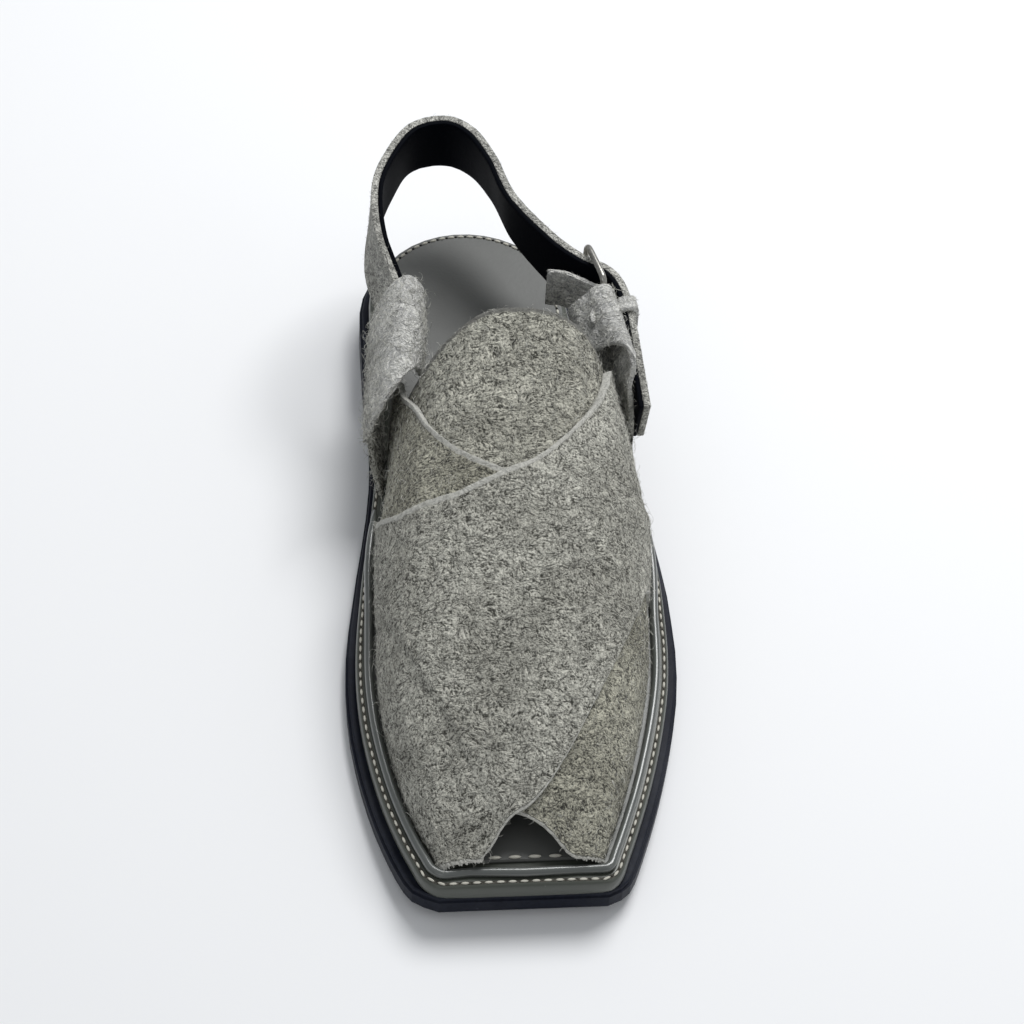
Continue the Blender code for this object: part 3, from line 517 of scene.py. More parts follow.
class ShoeColours(bpy.types.PropertyGroup):
    """Colours of the shoe, linear."""

    suede_light: colour_setting("Suede light", "Tips of the suede's fibres", (0.56, 0.555, 0.505))
    suede_dark: colour_setting("Suede dark", "Between the suede's fibres", (0.050, 0.049, 0.041))
    suede_cut: colour_setting("Suede cut", "Cut edge of the suede", (0.50, 0.495, 0.455))
    rubber: colour_setting("Rubber", "Outsole", (0.0045, 0.0058, 0.0112))
    platform: colour_setting("Platform", "Edge of the platform", (0.060, 0.066, 0.054))
    insole: colour_setting("Insole", "Face that the foot rests on", (0.125, 0.128, 0.122))
    rand: colour_setting("Rand", "Rolled bead", (0.085, 0.092, 0.086))
    # Set near black: the lining's own dark navy, made darker as painted shade of its face turned
    # away from the light.
    lining: colour_setting("Lining", "Inner face of the heel strap", (0.0012, 0.0018, 0.0038))
    thread: colour_setting("Thread", "Stitches", (0.66, 0.64, 0.56))
    steel: colour_setting("Steel", "Buckle", (0.42, 0.41, 0.38))
    floor: colour_setting("Floor", "Floor under the shoe", (0.86, 0.866, 0.878))


def sizes():
    return bpy.context.scene.shoe_sizes


def colours():
    return bpy.context.scene.shoe_colours


# Node groups that several materials share
def new_group(name, inputs, outputs):
    """Empty shader group. inputs: name, kind, default. outputs: name, kind."""
    group = bpy.data.node_groups.new(name, "ShaderNodeTree")
    for label, kind, default in inputs:
        socket = group.interface.new_socket(label, in_out="INPUT", socket_type=kind)
        socket.default_value = default
    for label, kind in outputs:
        group.interface.new_socket(label, in_out="OUTPUT", socket_type=kind)
    start = group.nodes.new("NodeGroupInput")
    end = group.nodes.new("NodeGroupOutput")
    return group, start, end


def add(tree, kind, links=None, **settings):
    """New node with its settings, and its inputs linked or set by name or number."""
    node = tree.nodes.new(kind)
    for key, value in settings.items():
        setattr(node, key, value)
    for key, value in (links or {}).items():
        if isinstance(value, bpy.types.NodeSocket):
            tree.links.new(value, node.inputs[key])
        else:
            node.inputs[key].default_value = value
    return node


def sum_of(tree, operation, first, second):
    return add(tree, "ShaderNodeMath", {0: first, 1: second}, operation=operation).outputs[0]


def weighted(tree, *parts):
    """Sum of several patterns, each times its weight."""
    whole = 0.0
    for pattern, weight in parts:
        whole = sum_of(tree, "ADD", sum_of(tree, "MULTIPLY", pattern, weight), whole)
    return whole


def blend_of(tree, share, first, second, mode="MIX"):
    """Mix of two colours."""
    node = add(tree, "ShaderNodeMix", data_type="RGBA", blend_type=mode)
    for key, value in ((0, share), (6, first), (7, second)):
        if isinstance(value, bpy.types.NodeSocket):
            tree.links.new(value, node.inputs[key])
        elif key:
            node.inputs[key].default_value = (*value[:3], 1.0)
        else:
            node.inputs[key].default_value = value
    return node.outputs[2]


def step_of(tree, value, low, high):
    """0 below low, 1 above high, straight between."""
    node = add(tree, "ShaderNodeMapRange", {0: value, 1: low, 2: high}, clamp=True)
    return node.outputs[0]


def noise_of(tree, vector, scale, detail=4.0, roughness=0.55, distortion=0.0):
    links = {"Vector": vector, "Scale": scale, "Detail": detail}
    links.update({"Roughness": roughness, "Distortion": distortion})
    return add(tree, "ShaderNodeTexNoise", links).outputs["Fac"]


def stretched(tree, vector, scale, turn=(0.0, 0.0, 0.0)):
    links = {"Vector": vector, "Scale": scale, "Rotation": turn}
    return add(tree, "ShaderNodeMapping", links).outputs[0]


def line_along(tree, value, width):
    """1 where a noise crosses its middle, fading over a width: a thin winding line."""
    off = sum_of(tree, "ABSOLUTE", sum_of(tree, "SUBTRACT", value, 0.5), 0.0)
    return sum_of(tree, "SUBTRACT", 1.0, step_of(tree, off, width * 0.3, width))


def make_nap_group():
    """Matted nap of suede: fine specks, soft lumps, pale curled fibres, and painted shade: darker
    along the fold valleys and paler on the lumps.
    """
    group, start, end = new_group(
        "suede_nap",
        [("Vector", "NodeSocketVector", (0, 0, 0)), ("Scale", "NodeSocketFloat", 1.0)],
        [
            ("Tone", "NodeSocketFloat"), ("Height", "NodeSocketFloat"),
            ("Fibres", "NodeSocketFloat"), ("Patches", "NodeSocketFloat"),
        ],
    )
    place = add(
        group, "ShaderNodeVectorMath", {0: start.outputs["Vector"]}, operation="SCALE"
    )
    group.links.new(start.outputs["Scale"], place.inputs["Scale"])
    place = place.outputs[0]
    swirl = add(group, "ShaderNodeTexNoise", {"Vector": place, "Scale": 75.0, "Detail": 2.0})
    centred = add(
        group, "ShaderNodeVectorMath", {0: swirl.outputs["Color"], 1: (0.5, 0.5, 0.5)},
        operation="SUBTRACT",
    )
    moved = add(
        group, "ShaderNodeVectorMath", {0: centred.outputs[0], "Scale": 0.011},
        operation="SCALE",
    )
    warped = add(
        group, "ShaderNodeVectorMath", {0: place, 1: moved.outputs[0]}, operation="ADD"
    ).outputs[0]
    fine = noise_of(group, warped, 2100.0, 2.0, 0.75)
    speck = noise_of(group, place, 1300.0, 1.0, 0.6)
    hairs = noise_of(group, stretched(group, warped, (1.0, 0.38, 0.7), (0, 0, 0.7)), 900.0, 2.0)
    lumps = noise_of(group, warped, 260.0, 2.0, 0.5, 0.5)
    folds = noise_of(group, stretched(group, warped, (0.6, 1.0, 0.8)), 390.0, 1.5, 0.5, 0.7)
    pale = line_along(group, noise_of(group, warped, 420.0, 1.0, 0.5, 1.2), 0.045)
    where = step_of(group, noise_of(group, place, 290.0, 2.0), 0.50, 0.58)
    pale = sum_of(group, "MULTIPLY", pale, where)
    valley = line_along(group, folds, 0.16)
    # Dark line along the fold valleys: painted shade of the creases.
    painted_valley_shade = line_along(group, folds, 0.060)
    where = step_of(group, noise_of(group, place, 300.0, 2.0), 0.34, 0.62)
    painted_valley_shade = sum_of(group, "MULTIPLY", painted_valley_shade, where)
    valley = sum_of(group, "MULTIPLY", valley, step_of(group, where, -0.8, 1.0))
    grain = weighted(group, (fine, 1.2), (speck, 0.9), (hairs, 0.6))
    # Painted shade: the tone is darker along the fold valleys and follows the lumps' height.
    tone = weighted(group, (grain, 1.0), (lumps, 0.22), (painted_valley_shade, -0.25), (pale, 0.30))
    height = weighted(group, (grain, 0.42), (lumps, 1.6), (valley, -0.80), (pale, 0.35))
    group.links.new(step_of(group, tone, 1.17, 1.64), end.inputs["Tone"])
    group.links.new(height, end.inputs["Height"])
    group.links.new(pale, end.inputs["Fibres"])
    group.links.new(noise_of(group, place, 34.0, 3.0, 0.6), end.inputs["Patches"])
    return group


def make_dust_group():
    """Pale specks and short scuffs."""
    group, start, end = new_group(
        "dust",
        [
            ("Vector", "NodeSocketVector", (0, 0, 0)), ("Color", "NodeSocketColor", (0, 0, 0, 1)),
            ("Dust", "NodeSocketColor", (0.4, 0.4, 0.4, 1)), ("Amount", "NodeSocketFloat", 0.3),
        ],
        [("Color", "NodeSocketColor"), ("Mask", "NodeSocketFloat")],
    )
    place = start.outputs["Vector"]
    cells = add(group, "ShaderNodeTexVoronoi", {"Vector": place, "Scale": 210.0})
    specks = sum_of(group, "SUBTRACT", 1.0, step_of(group, cells.outputs["Distance"], 0.03, 0.09))
    some = step_of(group, noise_of(group, place, 46.0, 2.0), 0.54, 0.62)
    specks = sum_of(group, "MULTIPLY", specks, some)
    long = stretched(group, place, (1.0, 0.12, 1.0), (0.0, 0.0, 0.9))
    scuffs = step_of(group, noise_of(group, long, 260.0, 3.0, 0.5), 0.70, 0.78)
    haze = step_of(group, noise_of(group, place, 24.0, 5.0, 0.65), 0.42, 0.80)
    haze = sum_of(group, "MULTIPLY", haze, 0.35)
    mask = sum_of(group, "MAXIMUM", sum_of(group, "MAXIMUM", specks, scuffs), haze)
    mask = sum_of(group, "MULTIPLY", mask, start.outputs["Amount"])
    colour = blend_of(group, mask, start.outputs["Color"], start.outputs["Dust"])
    group.links.new(colour, end.inputs["Color"])
    group.links.new(mask, end.inputs["Mask"])
    return group


def make_grain_group():
    """Fine pebbled grain of smooth leather."""
    group, start, end = new_group(
        "leather_grain",
        [("Vector", "NodeSocketVector", (0, 0, 0)), ("Scale", "NodeSocketFloat", 900.0)],
        [("Height", "NodeSocketFloat"), ("Clouds", "NodeSocketFloat")],
    )
    place = start.outputs["Vector"]
    cells = add(group, "ShaderNodeTexVoronoi", {"Vector": place, "Scale": start.outputs["Scale"]})
    fine = noise_of(group, place, 1400.0, 3.0, 0.6)
    height = sum_of(group, "ADD", sum_of(group, "MULTIPLY", cells.outputs["Distance"], 0.6), fine)
    group.links.new(height, end.inputs["Height"])
    group.links.new(noise_of(group, place, 18.0, 4.0, 0.6), end.inputs["Clouds"])
    return group


def shared(name, make):
    """Node group by name, made when it is first asked for."""
    return bpy.data.node_groups.get(name) or make()


def new_material(name, roughness, **constants):
    """Material with object coordinates. constants: sockets of the shader that stay plain."""
    material = bpy.data.materials.new(name)
    material.use_nodes = True
    tree = material.node_tree
    shader = tree.nodes["Principled BSDF"]
    shader.inputs["Roughness"].default_value = roughness
    for key, value in constants.items():
        shader.inputs[key.replace("_", " ")].default_value = value
    place = add(tree, "ShaderNodeTexCoord").outputs["Object"]
    return material, tree, shader, place


def bump(tree, shader, height, strength, distance):
    values = {"Height": height, "Strength": strength, "Distance": distance}
    node = add(tree, "ShaderNodeBump", values)
    tree.links.new(node.outputs[0], shader.inputs["Normal"])


def suede(name, scale=1.0, light=1.0, warmth=0.0, rim=0.0, rim_light=1.0, painted_top_light=0.0):
    """Grey hairy suede. light: share of its usual brightness. warmth: towards brown.
    rim: where the mesh's edge value turns nap into cut leather, 0 for nowhere.
    painted_top_light (the last argument): how much paler the nap is painted higher up, as painted
    light from above on the tops of the loops and strap."""
    found = bpy.data.materials.get(name)
    if found:
        return found
    material, tree, shader, place = new_material(
        name, 0.95, Sheen_Weight=0.12, Sheen_Roughness=0.6, Specular_IOR_Level=0.08
    )
    shader.inputs["Sheen Tint"].default_value = (0.85, 0.84, 0.80, 1.0)
    nap = add(tree, "ShaderNodeGroup", node_tree=shared("suede_nap", make_nap_group))
    tree.links.new(place, nap.inputs["Vector"])
    nap.inputs["Scale"].default_value = scale
    height, patches = nap.outputs["Height"], nap.outputs["Patches"]
    pale = [value * light for value in colours().suede_light]
    pale = [pale[0], pale[1] * (1 - 0.03 * warmth), pale[2] * (1 - 0.20 * warmth)]
    dark = [value * light for value in colours().suede_dark]
    colour = blend_of(tree, nap.outputs["Tone"], dark, pale)
    shade = sum_of(tree, "MULTIPLY", step_of(tree, patches, 0.40, 0.66), 0.34)
    colour = blend_of(tree, shade, colour, (0.10, 0.092, 0.070), "MULTIPLY")
    # Painted highlight: the nap turns paler with height, standing in for the light from above on
    # the tops of the pieces.
    if painted_top_light:
        high = add(tree, "ShaderNodeSeparateXYZ", {0: place}).outputs[2]
        high = sum_of(tree, "MULTIPLY", step_of(tree, high, 0.034, 0.058), painted_top_light)
        colour = blend_of(tree, high, colour, [min(value * 2.0, 1.0) for value in pale], "SCREEN")
    if rim:
        edge = add(tree, "ShaderNodeAttribute", attribute_name="edge").outputs["Fac"]
        wander = noise_of(tree, place, 420.0, 2.0)
        wander = sum_of(tree, "MULTIPLY", sum_of(tree, "SUBTRACT", wander, 0.5), 0.35)
        edge = step_of(tree, sum_of(tree, "ADD", edge, wander), rim - 0.06, rim + 0.06)
        cut = [value * rim_light for value in colours().suede_cut]
        worn = noise_of(tree, place, 1100.0, 3.0, 0.7)
        cut = blend_of(tree, step_of(tree, worn, 0.3, 0.6), [value * 0.6 for value in cut], cut)
        colour = blend_of(tree, edge, colour, cut)
        calm = sum_of(tree, "SUBTRACT", 1.0, sum_of(tree, "MULTIPLY", edge, 0.75))
        height = sum_of(tree, "MULTIPLY", height, calm)
    tree.links.new(colour, shader.inputs["Base Color"])
    bump(tree, shader, height, 1.0, 0.00105)
    return material


def cut_edge(name="suede_cut", light=1.0):
    """Cut face of the suede, paler and closer than its nap."""
    found = bpy.data.materials.get(name)
    if found:
        return found
    material, tree, shader, place = new_material(
        name, 0.9, Sheen_Weight=0.2, Specular_IOR_Level=0.15
    )
    fine = noise_of(tree, place, 900.0, 4.0, 0.7)
    pale = [value * light for value in colours().suede_cut]
    dark = [value * 0.45 for value in pale]
    colour = blend_of(tree, step_of(tree, fine, 0.34, 0.56), dark, pale)
    tree.links.new(colour, shader.inputs["Base Color"])
    bump(tree, shader, fine, 0.5, 0.0004)
    return material


def leather(name, base, rough, coat, dust=0.15, grain=0.25, scale=900.0, cloud=0.25, shine=0.4):
    """Smooth leather with grain, clouds and a little dust."""
    material, tree, shader, place = new_material(
        name, rough, Coat_Weight=coat, Coat_Roughness=0.28, Specular_IOR_Level=shine
    )
    skin = add(tree, "ShaderNodeGroup", node_tree=shared("leather_grain", make_grain_group))
    tree.links.new(place, skin.inputs["Vector"])
    skin.inputs["Scale"].default_value = scale
    clouds = sum_of(tree, "MULTIPLY", step_of(tree, skin.outputs["Clouds"], 0.35, 0.68), cloud)
    deep = [value * 0.62 for value in base]
    colour = blend_of(tree, clouds, base, deep)
    dusty = add(tree, "ShaderNodeGroup", node_tree=shared("dust", make_dust_group))
    tree.links.new(place, dusty.inputs["Vector"])
    tree.links.new(colour, dusty.inputs["Color"])
    dusty.inputs["Dust"].default_value = (0.34, 0.34, 0.32, 1.0)
    dusty.inputs["Amount"].default_value = dust
    tree.links.new(dusty.outputs["Color"], shader.inputs["Base Color"])
    dull = sum_of(tree, "ADD", sum_of(tree, "MULTIPLY", dusty.outputs["Mask"], 0.5), rough)
    tree.links.new(dull, shader.inputs["Roughness"])
    bump(tree, shader, skin.outputs["Height"], grain, 0.0002)
    return material


def rubber():
    """Navy-black rubber with pale scuffs."""
    material, tree, shader, place = new_material(
        "sole_rubber", 0.5, Specular_IOR_Level=0.12
    )
    dusty = add(tree, "ShaderNodeGroup", node_tree=shared("dust", make_dust_group))
    tree.links.new(place, dusty.inputs["Vector"])
    base = colours().rubber
    fine = noise_of(tree, place, 700.0, 4.0, 0.6)
    colour = blend_of(tree, step_of(tree, fine, 0.3, 0.7), base, [value * 1.9 for value in base])
    tree.links.new(colour, dusty.inputs["Color"])
    dusty.inputs["Dust"].default_value = (0.20, 0.21, 0.23, 1.0)
    dusty.inputs["Amount"].default_value = 0.35
    tree.links.new(dusty.outputs["Color"], shader.inputs["Base Color"])
    bump(tree, shader, fine, 0.25, 0.0003)
    return material


def thread():
    """Waxed thread of two twisted plies."""
    material, tree, shader, place = new_material("thread", 0.6, Specular_IOR_Level=0.3)
    twist = add(tree, "ShaderNodeTexWave", {"Vector": place, "Scale": 900.0, "Distortion": 2.0})
    pale = colours().thread
    colour = blend_of(tree, twist.outputs["Fac"], [value * 0.72 for value in pale], pale)
    tree.links.new(colour, shader.inputs["Base Color"])
    bump(tree, shader, twist.outputs["Fac"], 0.4, 0.0002)
    return material


def steel():
    """Worn steel wire."""
    material, tree, shader, place = new_material("worn_steel", 0.3, Metallic=1.0)
    marks = noise_of(tree, place, 900.0, 5.0, 0.7)
    base = colours().steel
    colour = blend_of(tree, step_of(tree, marks, 0.35, 0.7), base, [value * 0.5 for value in base])
    tree.links.new(colour, shader.inputs["Base Color"])
    rough = sum_of(tree, "ADD", sum_of(tree, "MULTIPLY", marks, 0.3), 0.18)
    tree.links.new(rough, shader.inputs["Roughness"])
    bump(tree, shader, marks, 0.15, 0.0002)
    return material


# Making pieces
def publish(work, name, materials, replaced=(), smooth_angle=42):
    """Object of a bmesh that rides with the shoe."""
    mesh = bpy.data.meshes.new(name)
    work.to_mesh(mesh)
    work.free()
    mesh.shade_smooth()
    mesh.set_sharp_from_angle(angle=math.radians(smooth_angle))
    for material in materials:
        mesh.materials.append(material)
    piece = bpy.data.objects.new(name, mesh)
    bpy.context.scene.collection.objects.link(piece)
    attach(piece, "root")
    if replaced:
        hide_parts(*replaced)
    return piece


def dress(node, material):
    """Give a solid of the frame its finish."""
    mesh = NODES[node].data
    mesh.materials.clear()
    mesh.materials.append(material)


def clean_copy(node):
    """Closed mesh of a solid with its triangles joined to quads again."""
    work = bmesh.new()
    work.from_mesh(NODES[node].data)
    bmesh.ops.remove_doubles(work, verts=work.verts, dist=1e-6)
    bmesh.ops.dissolve_degenerate(work, edges=work.edges, dist=1e-7)
    bmesh.ops.join_triangles(
        work, faces=work.faces, angle_face_threshold=math.radians(30),
        angle_shape_threshold=math.radians(50),
    )
    return work


def soft_copy(node, levels, crease_angle=48, crease=0.8):
    """Rounded, finer mesh of a solid."""
    work = clean_copy(node)
    layers = work.edges.layers.float
    layer = layers.get("crease_edge") or layers.new("crease_edge")
    for edge in work.edges:
        if edge.is_manifold and edge.calc_face_angle(0.0) > math.radians(crease_angle):
            edge[layer] = crease
    mesh = bpy.data.meshes.new(node + "_soft")
    work.to_mesh(mesh)
    work.free()
    helper = bpy.data.objects.new(node + "_soft", mesh)
    bpy.context.scene.collection.objects.link(helper)
    modifier = helper.modifiers.new("round", "SUBSURF")
    modifier.levels = modifier.render_levels = levels
    graph = bpy.context.evaluated_depsgraph_get()
    fine = bmesh.new()
    fine.from_object(helper, graph)
    bpy.data.objects.remove(helper)
    bpy.data.meshes.remove(mesh)
    return fine


def roughen(work, depth, size, seed):
    """Move a mesh's points in and out by soft noise."""
    work.normal_update()
    shift = Vector((seed, seed * 1.7, seed * 0.6))
    for point in work.verts:
        wave = noise.noise(point.co / size + shift)
        wave += 0.5 * noise.noise(point.co / size * 2.7 + shift)
        point.co += point.normal * depth * wave


def tree_of(*names):
    """Search tree over several shown solids or pieces."""
    work = bmesh.new()
    for name in names:
        source = NODES[name] if name in NODES else bpy.data.objects[name]
        work.from_mesh(source.data)
    found = BVHTree.FromBMesh(work)
    work.free()
    return found


def drop(tree, x, y):
    """Point and normal of the surface below a place."""
    point, normal, index, distance = tree.ray_cast(Vector((x, y, 0.2)), Vector((0, 0, -1)))
    if point is None:
        raise RuntimeError("nothing to sew on at %.4f, %.4f" % (x, y))
    return point, normal


def spaced(points, pitch, left=0.0):
    """Places and directions along a line at an even pitch."""
    places = []
    for start, end in zip(points, points[1:]):
        span = (end - start).length
        at = left
        while at < span:
            places.append((start.lerp(end, at / span), (end - start).normalized()))
            at += pitch
        left = at - span
    return places


def stitch(work, place, along, up, length, radius):
    """One rounded stitch, lying on the surface."""
    side = along.cross(up).normalized()
    up = side.cross(along)
    turn = Matrix((along * length / 2, side * radius, up * radius)).transposed().to_4x4()
    turn.translation = place
    bmesh.ops.create_uvsphere(work, u_segments=8, v_segments=6, radius=1.0, matrix=turn)


def outline_points(inset, station_from, count, over_toe):
    """Line at an inset from the sole's edge, from the medial side to the lateral one."""
    if over_toe:
        front = station_y(0.0) + inset * TOE_SHARE
        back = station_y(station_from)
        shares = [1 - math.cos(math.pi / 2 * i / count) for i in range(count, -1, -1)]
        ys = [front + share * (back - front) for share in shares]
    else:
        back = station_y(1.0) - inset
        front = station_y(station_from)
        shares = [math.sin(math.pi / 2 * i / count) for i in range(count + 1)]
        ys = [front + share * (back - front) for share in shares]
    medial = [Vector((edge_x("medial", y, inset), y, 0)) for y in ys]
    lateral = [Vector((edge_x("lateral", y, inset), y, 0)) for y in ys]
    return medial + lateral[::-1]


def sew(name, points, pitch, length, radius, tree, lift, material):
    """Row of stitches on the surface under a line. Returns the places."""
    work = bmesh.new()
    places = spaced(points, pitch)
    for place, along in places:
        point, normal = drop(tree, place.x, place.y)
        flat = along - normal * along.dot(normal)
        stitch(work, point + normal * lift, flat.normalized(), normal, length, radius)
    return publish(work, name, [material]), places


def pits(name, points, pitch, start, tree, radius):
    """Dark holes between the stitches of a row: thin dished discs on the surface, their near-black
    colour painted shade of the holes.
    """
    work = bmesh.new()
    places = spaced(points, pitch, start)
    for place, along in places:
        point, normal = drop(tree, place.x, place.y)
        turn = normal.to_track_quat("Z", "Y").to_matrix() @ Matrix.Diagonal((1.0, 1.0, 0.3))
        turn = turn.to_4x4()
        turn.translation = point
        bmesh.ops.create_icosphere(work, subdivisions=1, radius=radius, matrix=turn)
    material = bpy.data.materials.get("stitch_hole")
    if material is None:
        material, nodes, shader, where = new_material("stitch_hole", 0.9, Specular_IOR_Level=0.1)
        grit = noise_of(nodes, where, 900.0, 2.0)
        # Near-black colour: painted shade inside the stitch holes.
        colour = blend_of(nodes, grit, (0.004, 0.004, 0.004), (0.016, 0.015, 0.013))
        nodes.links.new(colour, shader.inputs["Base Color"])
    return publish(work, name, [material])


# Bands and tongue
CREASES = (
    dict(station=0.105, turn=0.30, along=0.050, across=0.10, slant=0.5, depth=-0.0007),
    dict(station=0.150, turn=0.22, along=0.040, across=0.09, slant=-0.4, depth=0.0005),
    dict(station=0.205, turn=0.42, along=0.034, across=0.16, slant=0.3, depth=-0.0006),
    dict(station=0.255, turn=0.30, along=0.030, across=0.14, slant=-0.2, depth=0.0005),
    dict(station=0.290, turn=0.55, along=0.026, across=0.12, slant=0.4, depth=-0.0005),
    dict(station=0.335, turn=0.40, along=0.028, across=0.16, slant=0.1, depth=-0.0005),
    dict(station=0.375, turn=0.62, along=0.026, across=0.10, slant=0.5, depth=0.0004),
    dict(station=0.100, turn=0.74, along=0.036, across=0.07, slant=0.2, depth=-0.0005),
    dict(station=0.500, turn=0.45, along=0.016, across=0.18, slant=0.1, depth=-0.0005),
    dict(station=0.545, turn=0.38, along=0.014, across=0.16, slant=-0.2, depth=0.0005),
    dict(station=0.590, turn=0.52, along=0.014, across=0.14, slant=0.2, depth=-0.0004),
    dict(station=0.560, turn=0.66, along=0.018, across=0.07, slant=0.4, depth=0.0004),
)


def crease_depth(station, turn):
    """Soft troughs and ridges at a place on the last."""
    depth = 0.0
    for row in CREASES:
        across = (turn - row["turn"]) / row["across"]
        along = (station - row["station"]) / row["along"] - row["slant"] * across
        reach = along * along + across * across
        if reach < 4:
            depth += row["depth"] * math.exp(-2.2 * reach)
    return depth


BAND_GRID = ((150, 110))
TONGUE_GRID = ((110, 60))
RIM_REACH = 0.0042
# The tips lie against the bead
TIP_REACH, TIP_FADE = 0.0021, 0.022


def band_sheet(work, first, last, front, rear, offset, counts, wander, seed):
    """Grid of points laid on the last between two edges. Returns its points."""
    edge_layer = work.verts.layers.float.get("edge") or work.verts.layers.float.new("edge")
    made = bmesh.ops.create_grid(work, x_segments=counts[0], y_segments=counts[1], size=0.5)
    for point in made["verts"]:
        turn = first + (last - first) * (point.co.x + 0.5)
        share = point.co.y + 0.5
        low, high = front(turn), rear(turn)
        jitter = wander * noise.noise(Vector((turn * 60, share * 3, seed)))
        station = low + (high - low) * share + jitter * (1 if share < 0.5 else -1)
        station = max(station, LAST_FRONT)
        reach = (high - low) * SOLE_LENGTH
        behind, before = (1 - share) * reach / RIM_REACH, 2.5 * share * reach / RIM_REACH
        point[edge_layer] = max(0.0, 1 - min(behind, before))
        point.co = last_point(station, turn, offset(station, turn))
        point.co.y -= TIP_REACH * math.exp(-((station - LAST_FRONT) / TIP_FADE) ** 2)
    return made["verts"]


def wall_between(work, inner, outer, rim_bevel):
    """Close two sheets along their borders and round the outer rim."""
    inner, outer = set(inner), set(outer)
    borders = [edge for edge in work.edges if edge.is_boundary]
    made = bmesh.ops.bridge_loops(work, edges=borders)
    rims = set(made["faces"])
    for face in rims:
        face.material_index = 1
    lips = [
        edge for edge in work.edges
        if edge.verts[0] in outer and edge.verts[1] in outer
        and any(face in rims for face in edge.link_faces)
    ]
    bmesh.ops.bevel(
        work, geom=lips, offset=rim_bevel, segments=2, profile=0.5, affect="EDGES", material=-1
    )
    bmesh.ops.recalc_face_normals(work, faces=work.faces)


def make_sheet(name, turns, front, rear, inner, outer, counts, materials, replaced, seed):
    """One layer of suede on the last, with its wall, creases and cut edges."""
    work = bmesh.new()
    wander = 0.0009

    def face(station, turn):
        wave = noise.noise(Vector((station * 75, turn * 36, seed)))
        wave += 0.7 * noise.noise(Vector((station * 150, turn * 75, seed + 3)))
        edge = (rear(turn) - station) * SOLE_LENGTH / 0.0022
        lip = 0.00055 * math.exp(-edge * edge)
        calm = 1 - math.exp(-edge * edge)
        depth = sizes().nap_depth * wave * calm + crease_depth(station, turn)
        return outer(station, turn) + depth + lip

    low = band_sheet(work, *turns, front, rear, inner, counts, wander, seed)
    high = band_sheet(work, *turns, front, rear, face, counts, wander, seed)
    wall_between(work, low, high, 0.00035)
    return publish(work, name, materials, replaced)


class CHAPPAL_OT_bands(bpy.types.Operator):
    """Lay the two crossed bands and the tongue on the last."""

    bl_idname = "chappal.bands"
    bl_label = "Bands and tongue"

    def execute(self, context):
        over = [suede("suede_over", 1.0, 1.16, 0.15, 0.5), cut_edge()]
        # The under band's lower brightness is partly painted shade of its medial side; its browner
        # warmth is its own colour.
        under = [suede("suede_under", 1.0, 0.96, 0.6, 0.5, 0.92), cut_edge()]
        tongue = [suede("suede_tongue", 0.9, 1.14, 0.3, 0.62, 0.34), cut_edge("tongue_rim", 0.5)]
        make_sheet(
            "under_band", (0.0, 1.0), UNDER_FRONT, UNDER_REAR, lambda station, turn: 0.0,
            lambda station, turn: UNDER_WALL * toe_skive(station),
            BAND_GRID, under, ("upper",), 4.0,
        )
        make_sheet(
            "over_band", (0.0, 1.0), OVER_FRONT, OVER_REAR, over_lift, over_face,
            BAND_GRID, over, ("upper",), 9.0,
        )
        rim = column(TONGUE_RIM, "turn", "rear")
        make_sheet(
            "tongue_panel", (TONGUE_RIM[0]["turn"], TONGUE_RIM[-1]["turn"]),
            lambda turn: TONGUE_FRONT, rim, lambda station, turn: -SKIN_GAP - TONGUE_WALL,
            lambda station, turn: -SKIN_GAP, TONGUE_GRID, tongue, ("tongue",), 14.0,
        )
        return {"FINISHED"}


# How far the welt comes forward at the toe, to stand flush with the rubber
TOE_LIP = 0.0023
TOE_LIP_BACK, TOE_LIP_LENGTH = -0.2440, 0.010


def toe_share(y):
    """1 at the toe's front, fading to 0 behind it."""
    return smooth((TOE_LIP_BACK - y) / TOE_LIP_LENGTH)


class CHAPPAL_OT_sole(bpy.types.Operator):
    """Finish the rubber sole, the leather platform, the rolled bead and the insole."""

    bl_idname = "chappal.sole"
    bl_label = "Sole"

    def execute(self, context):
        shades = colours()
        dress("outsole", rubber())
        olive = leather("welt_leather", shades.platform, 0.36, 0.25, 0.12, 0.15)
        work = soft_copy("midsole", 1, 40, 0.55)
        for point in work.verts:
            point.co.y -= TOE_LIP * toe_share(point.co.y)
        publish(work, "welt", [olive], ("midsole",))
        dress("insole", leather("insole_face", shades.insole, 0.42, 0.08, 0.04, 0.2, 700.0, 0.5))
        work = soft_copy("rand", 1)
        for point in work.verts:
            wave = math.sin(point.co.x * 210 + 0.6) + 0.6 * math.sin(point.co.x * 95)
            near = toe_share(point.co.y)
            point.co.y -= near * (0.0003 + 0.00055 * wave)
            point.co.z += near * 0.0004 * math.cos(point.co.x * 160)
            point.co.z += 0.00012 * noise.noise(point.co * 130)
        gloss = leather("bead_leather", shades.rand, 0.20, 0.9, 0.05, 0.1)
        publish(work, "rand_bead", [gloss], ("rand",))
        return {"FINISHED"}


# At the toe the row runs closer to the edge
WELT_ROW_FORWARD = 0.0016


def rounded(points, rounds=3):
    """The line with its corners cut, again and again."""
    for _ in range(rounds):
        cut = [points[0]]
        for start, end in zip(points, points[1:]):
            cut += [start.lerp(end, 0.25), start.lerp(end, 0.75)]
        points = cut + [points[-1]]
    return points


CHANNEL_WIDTH = 0.0018


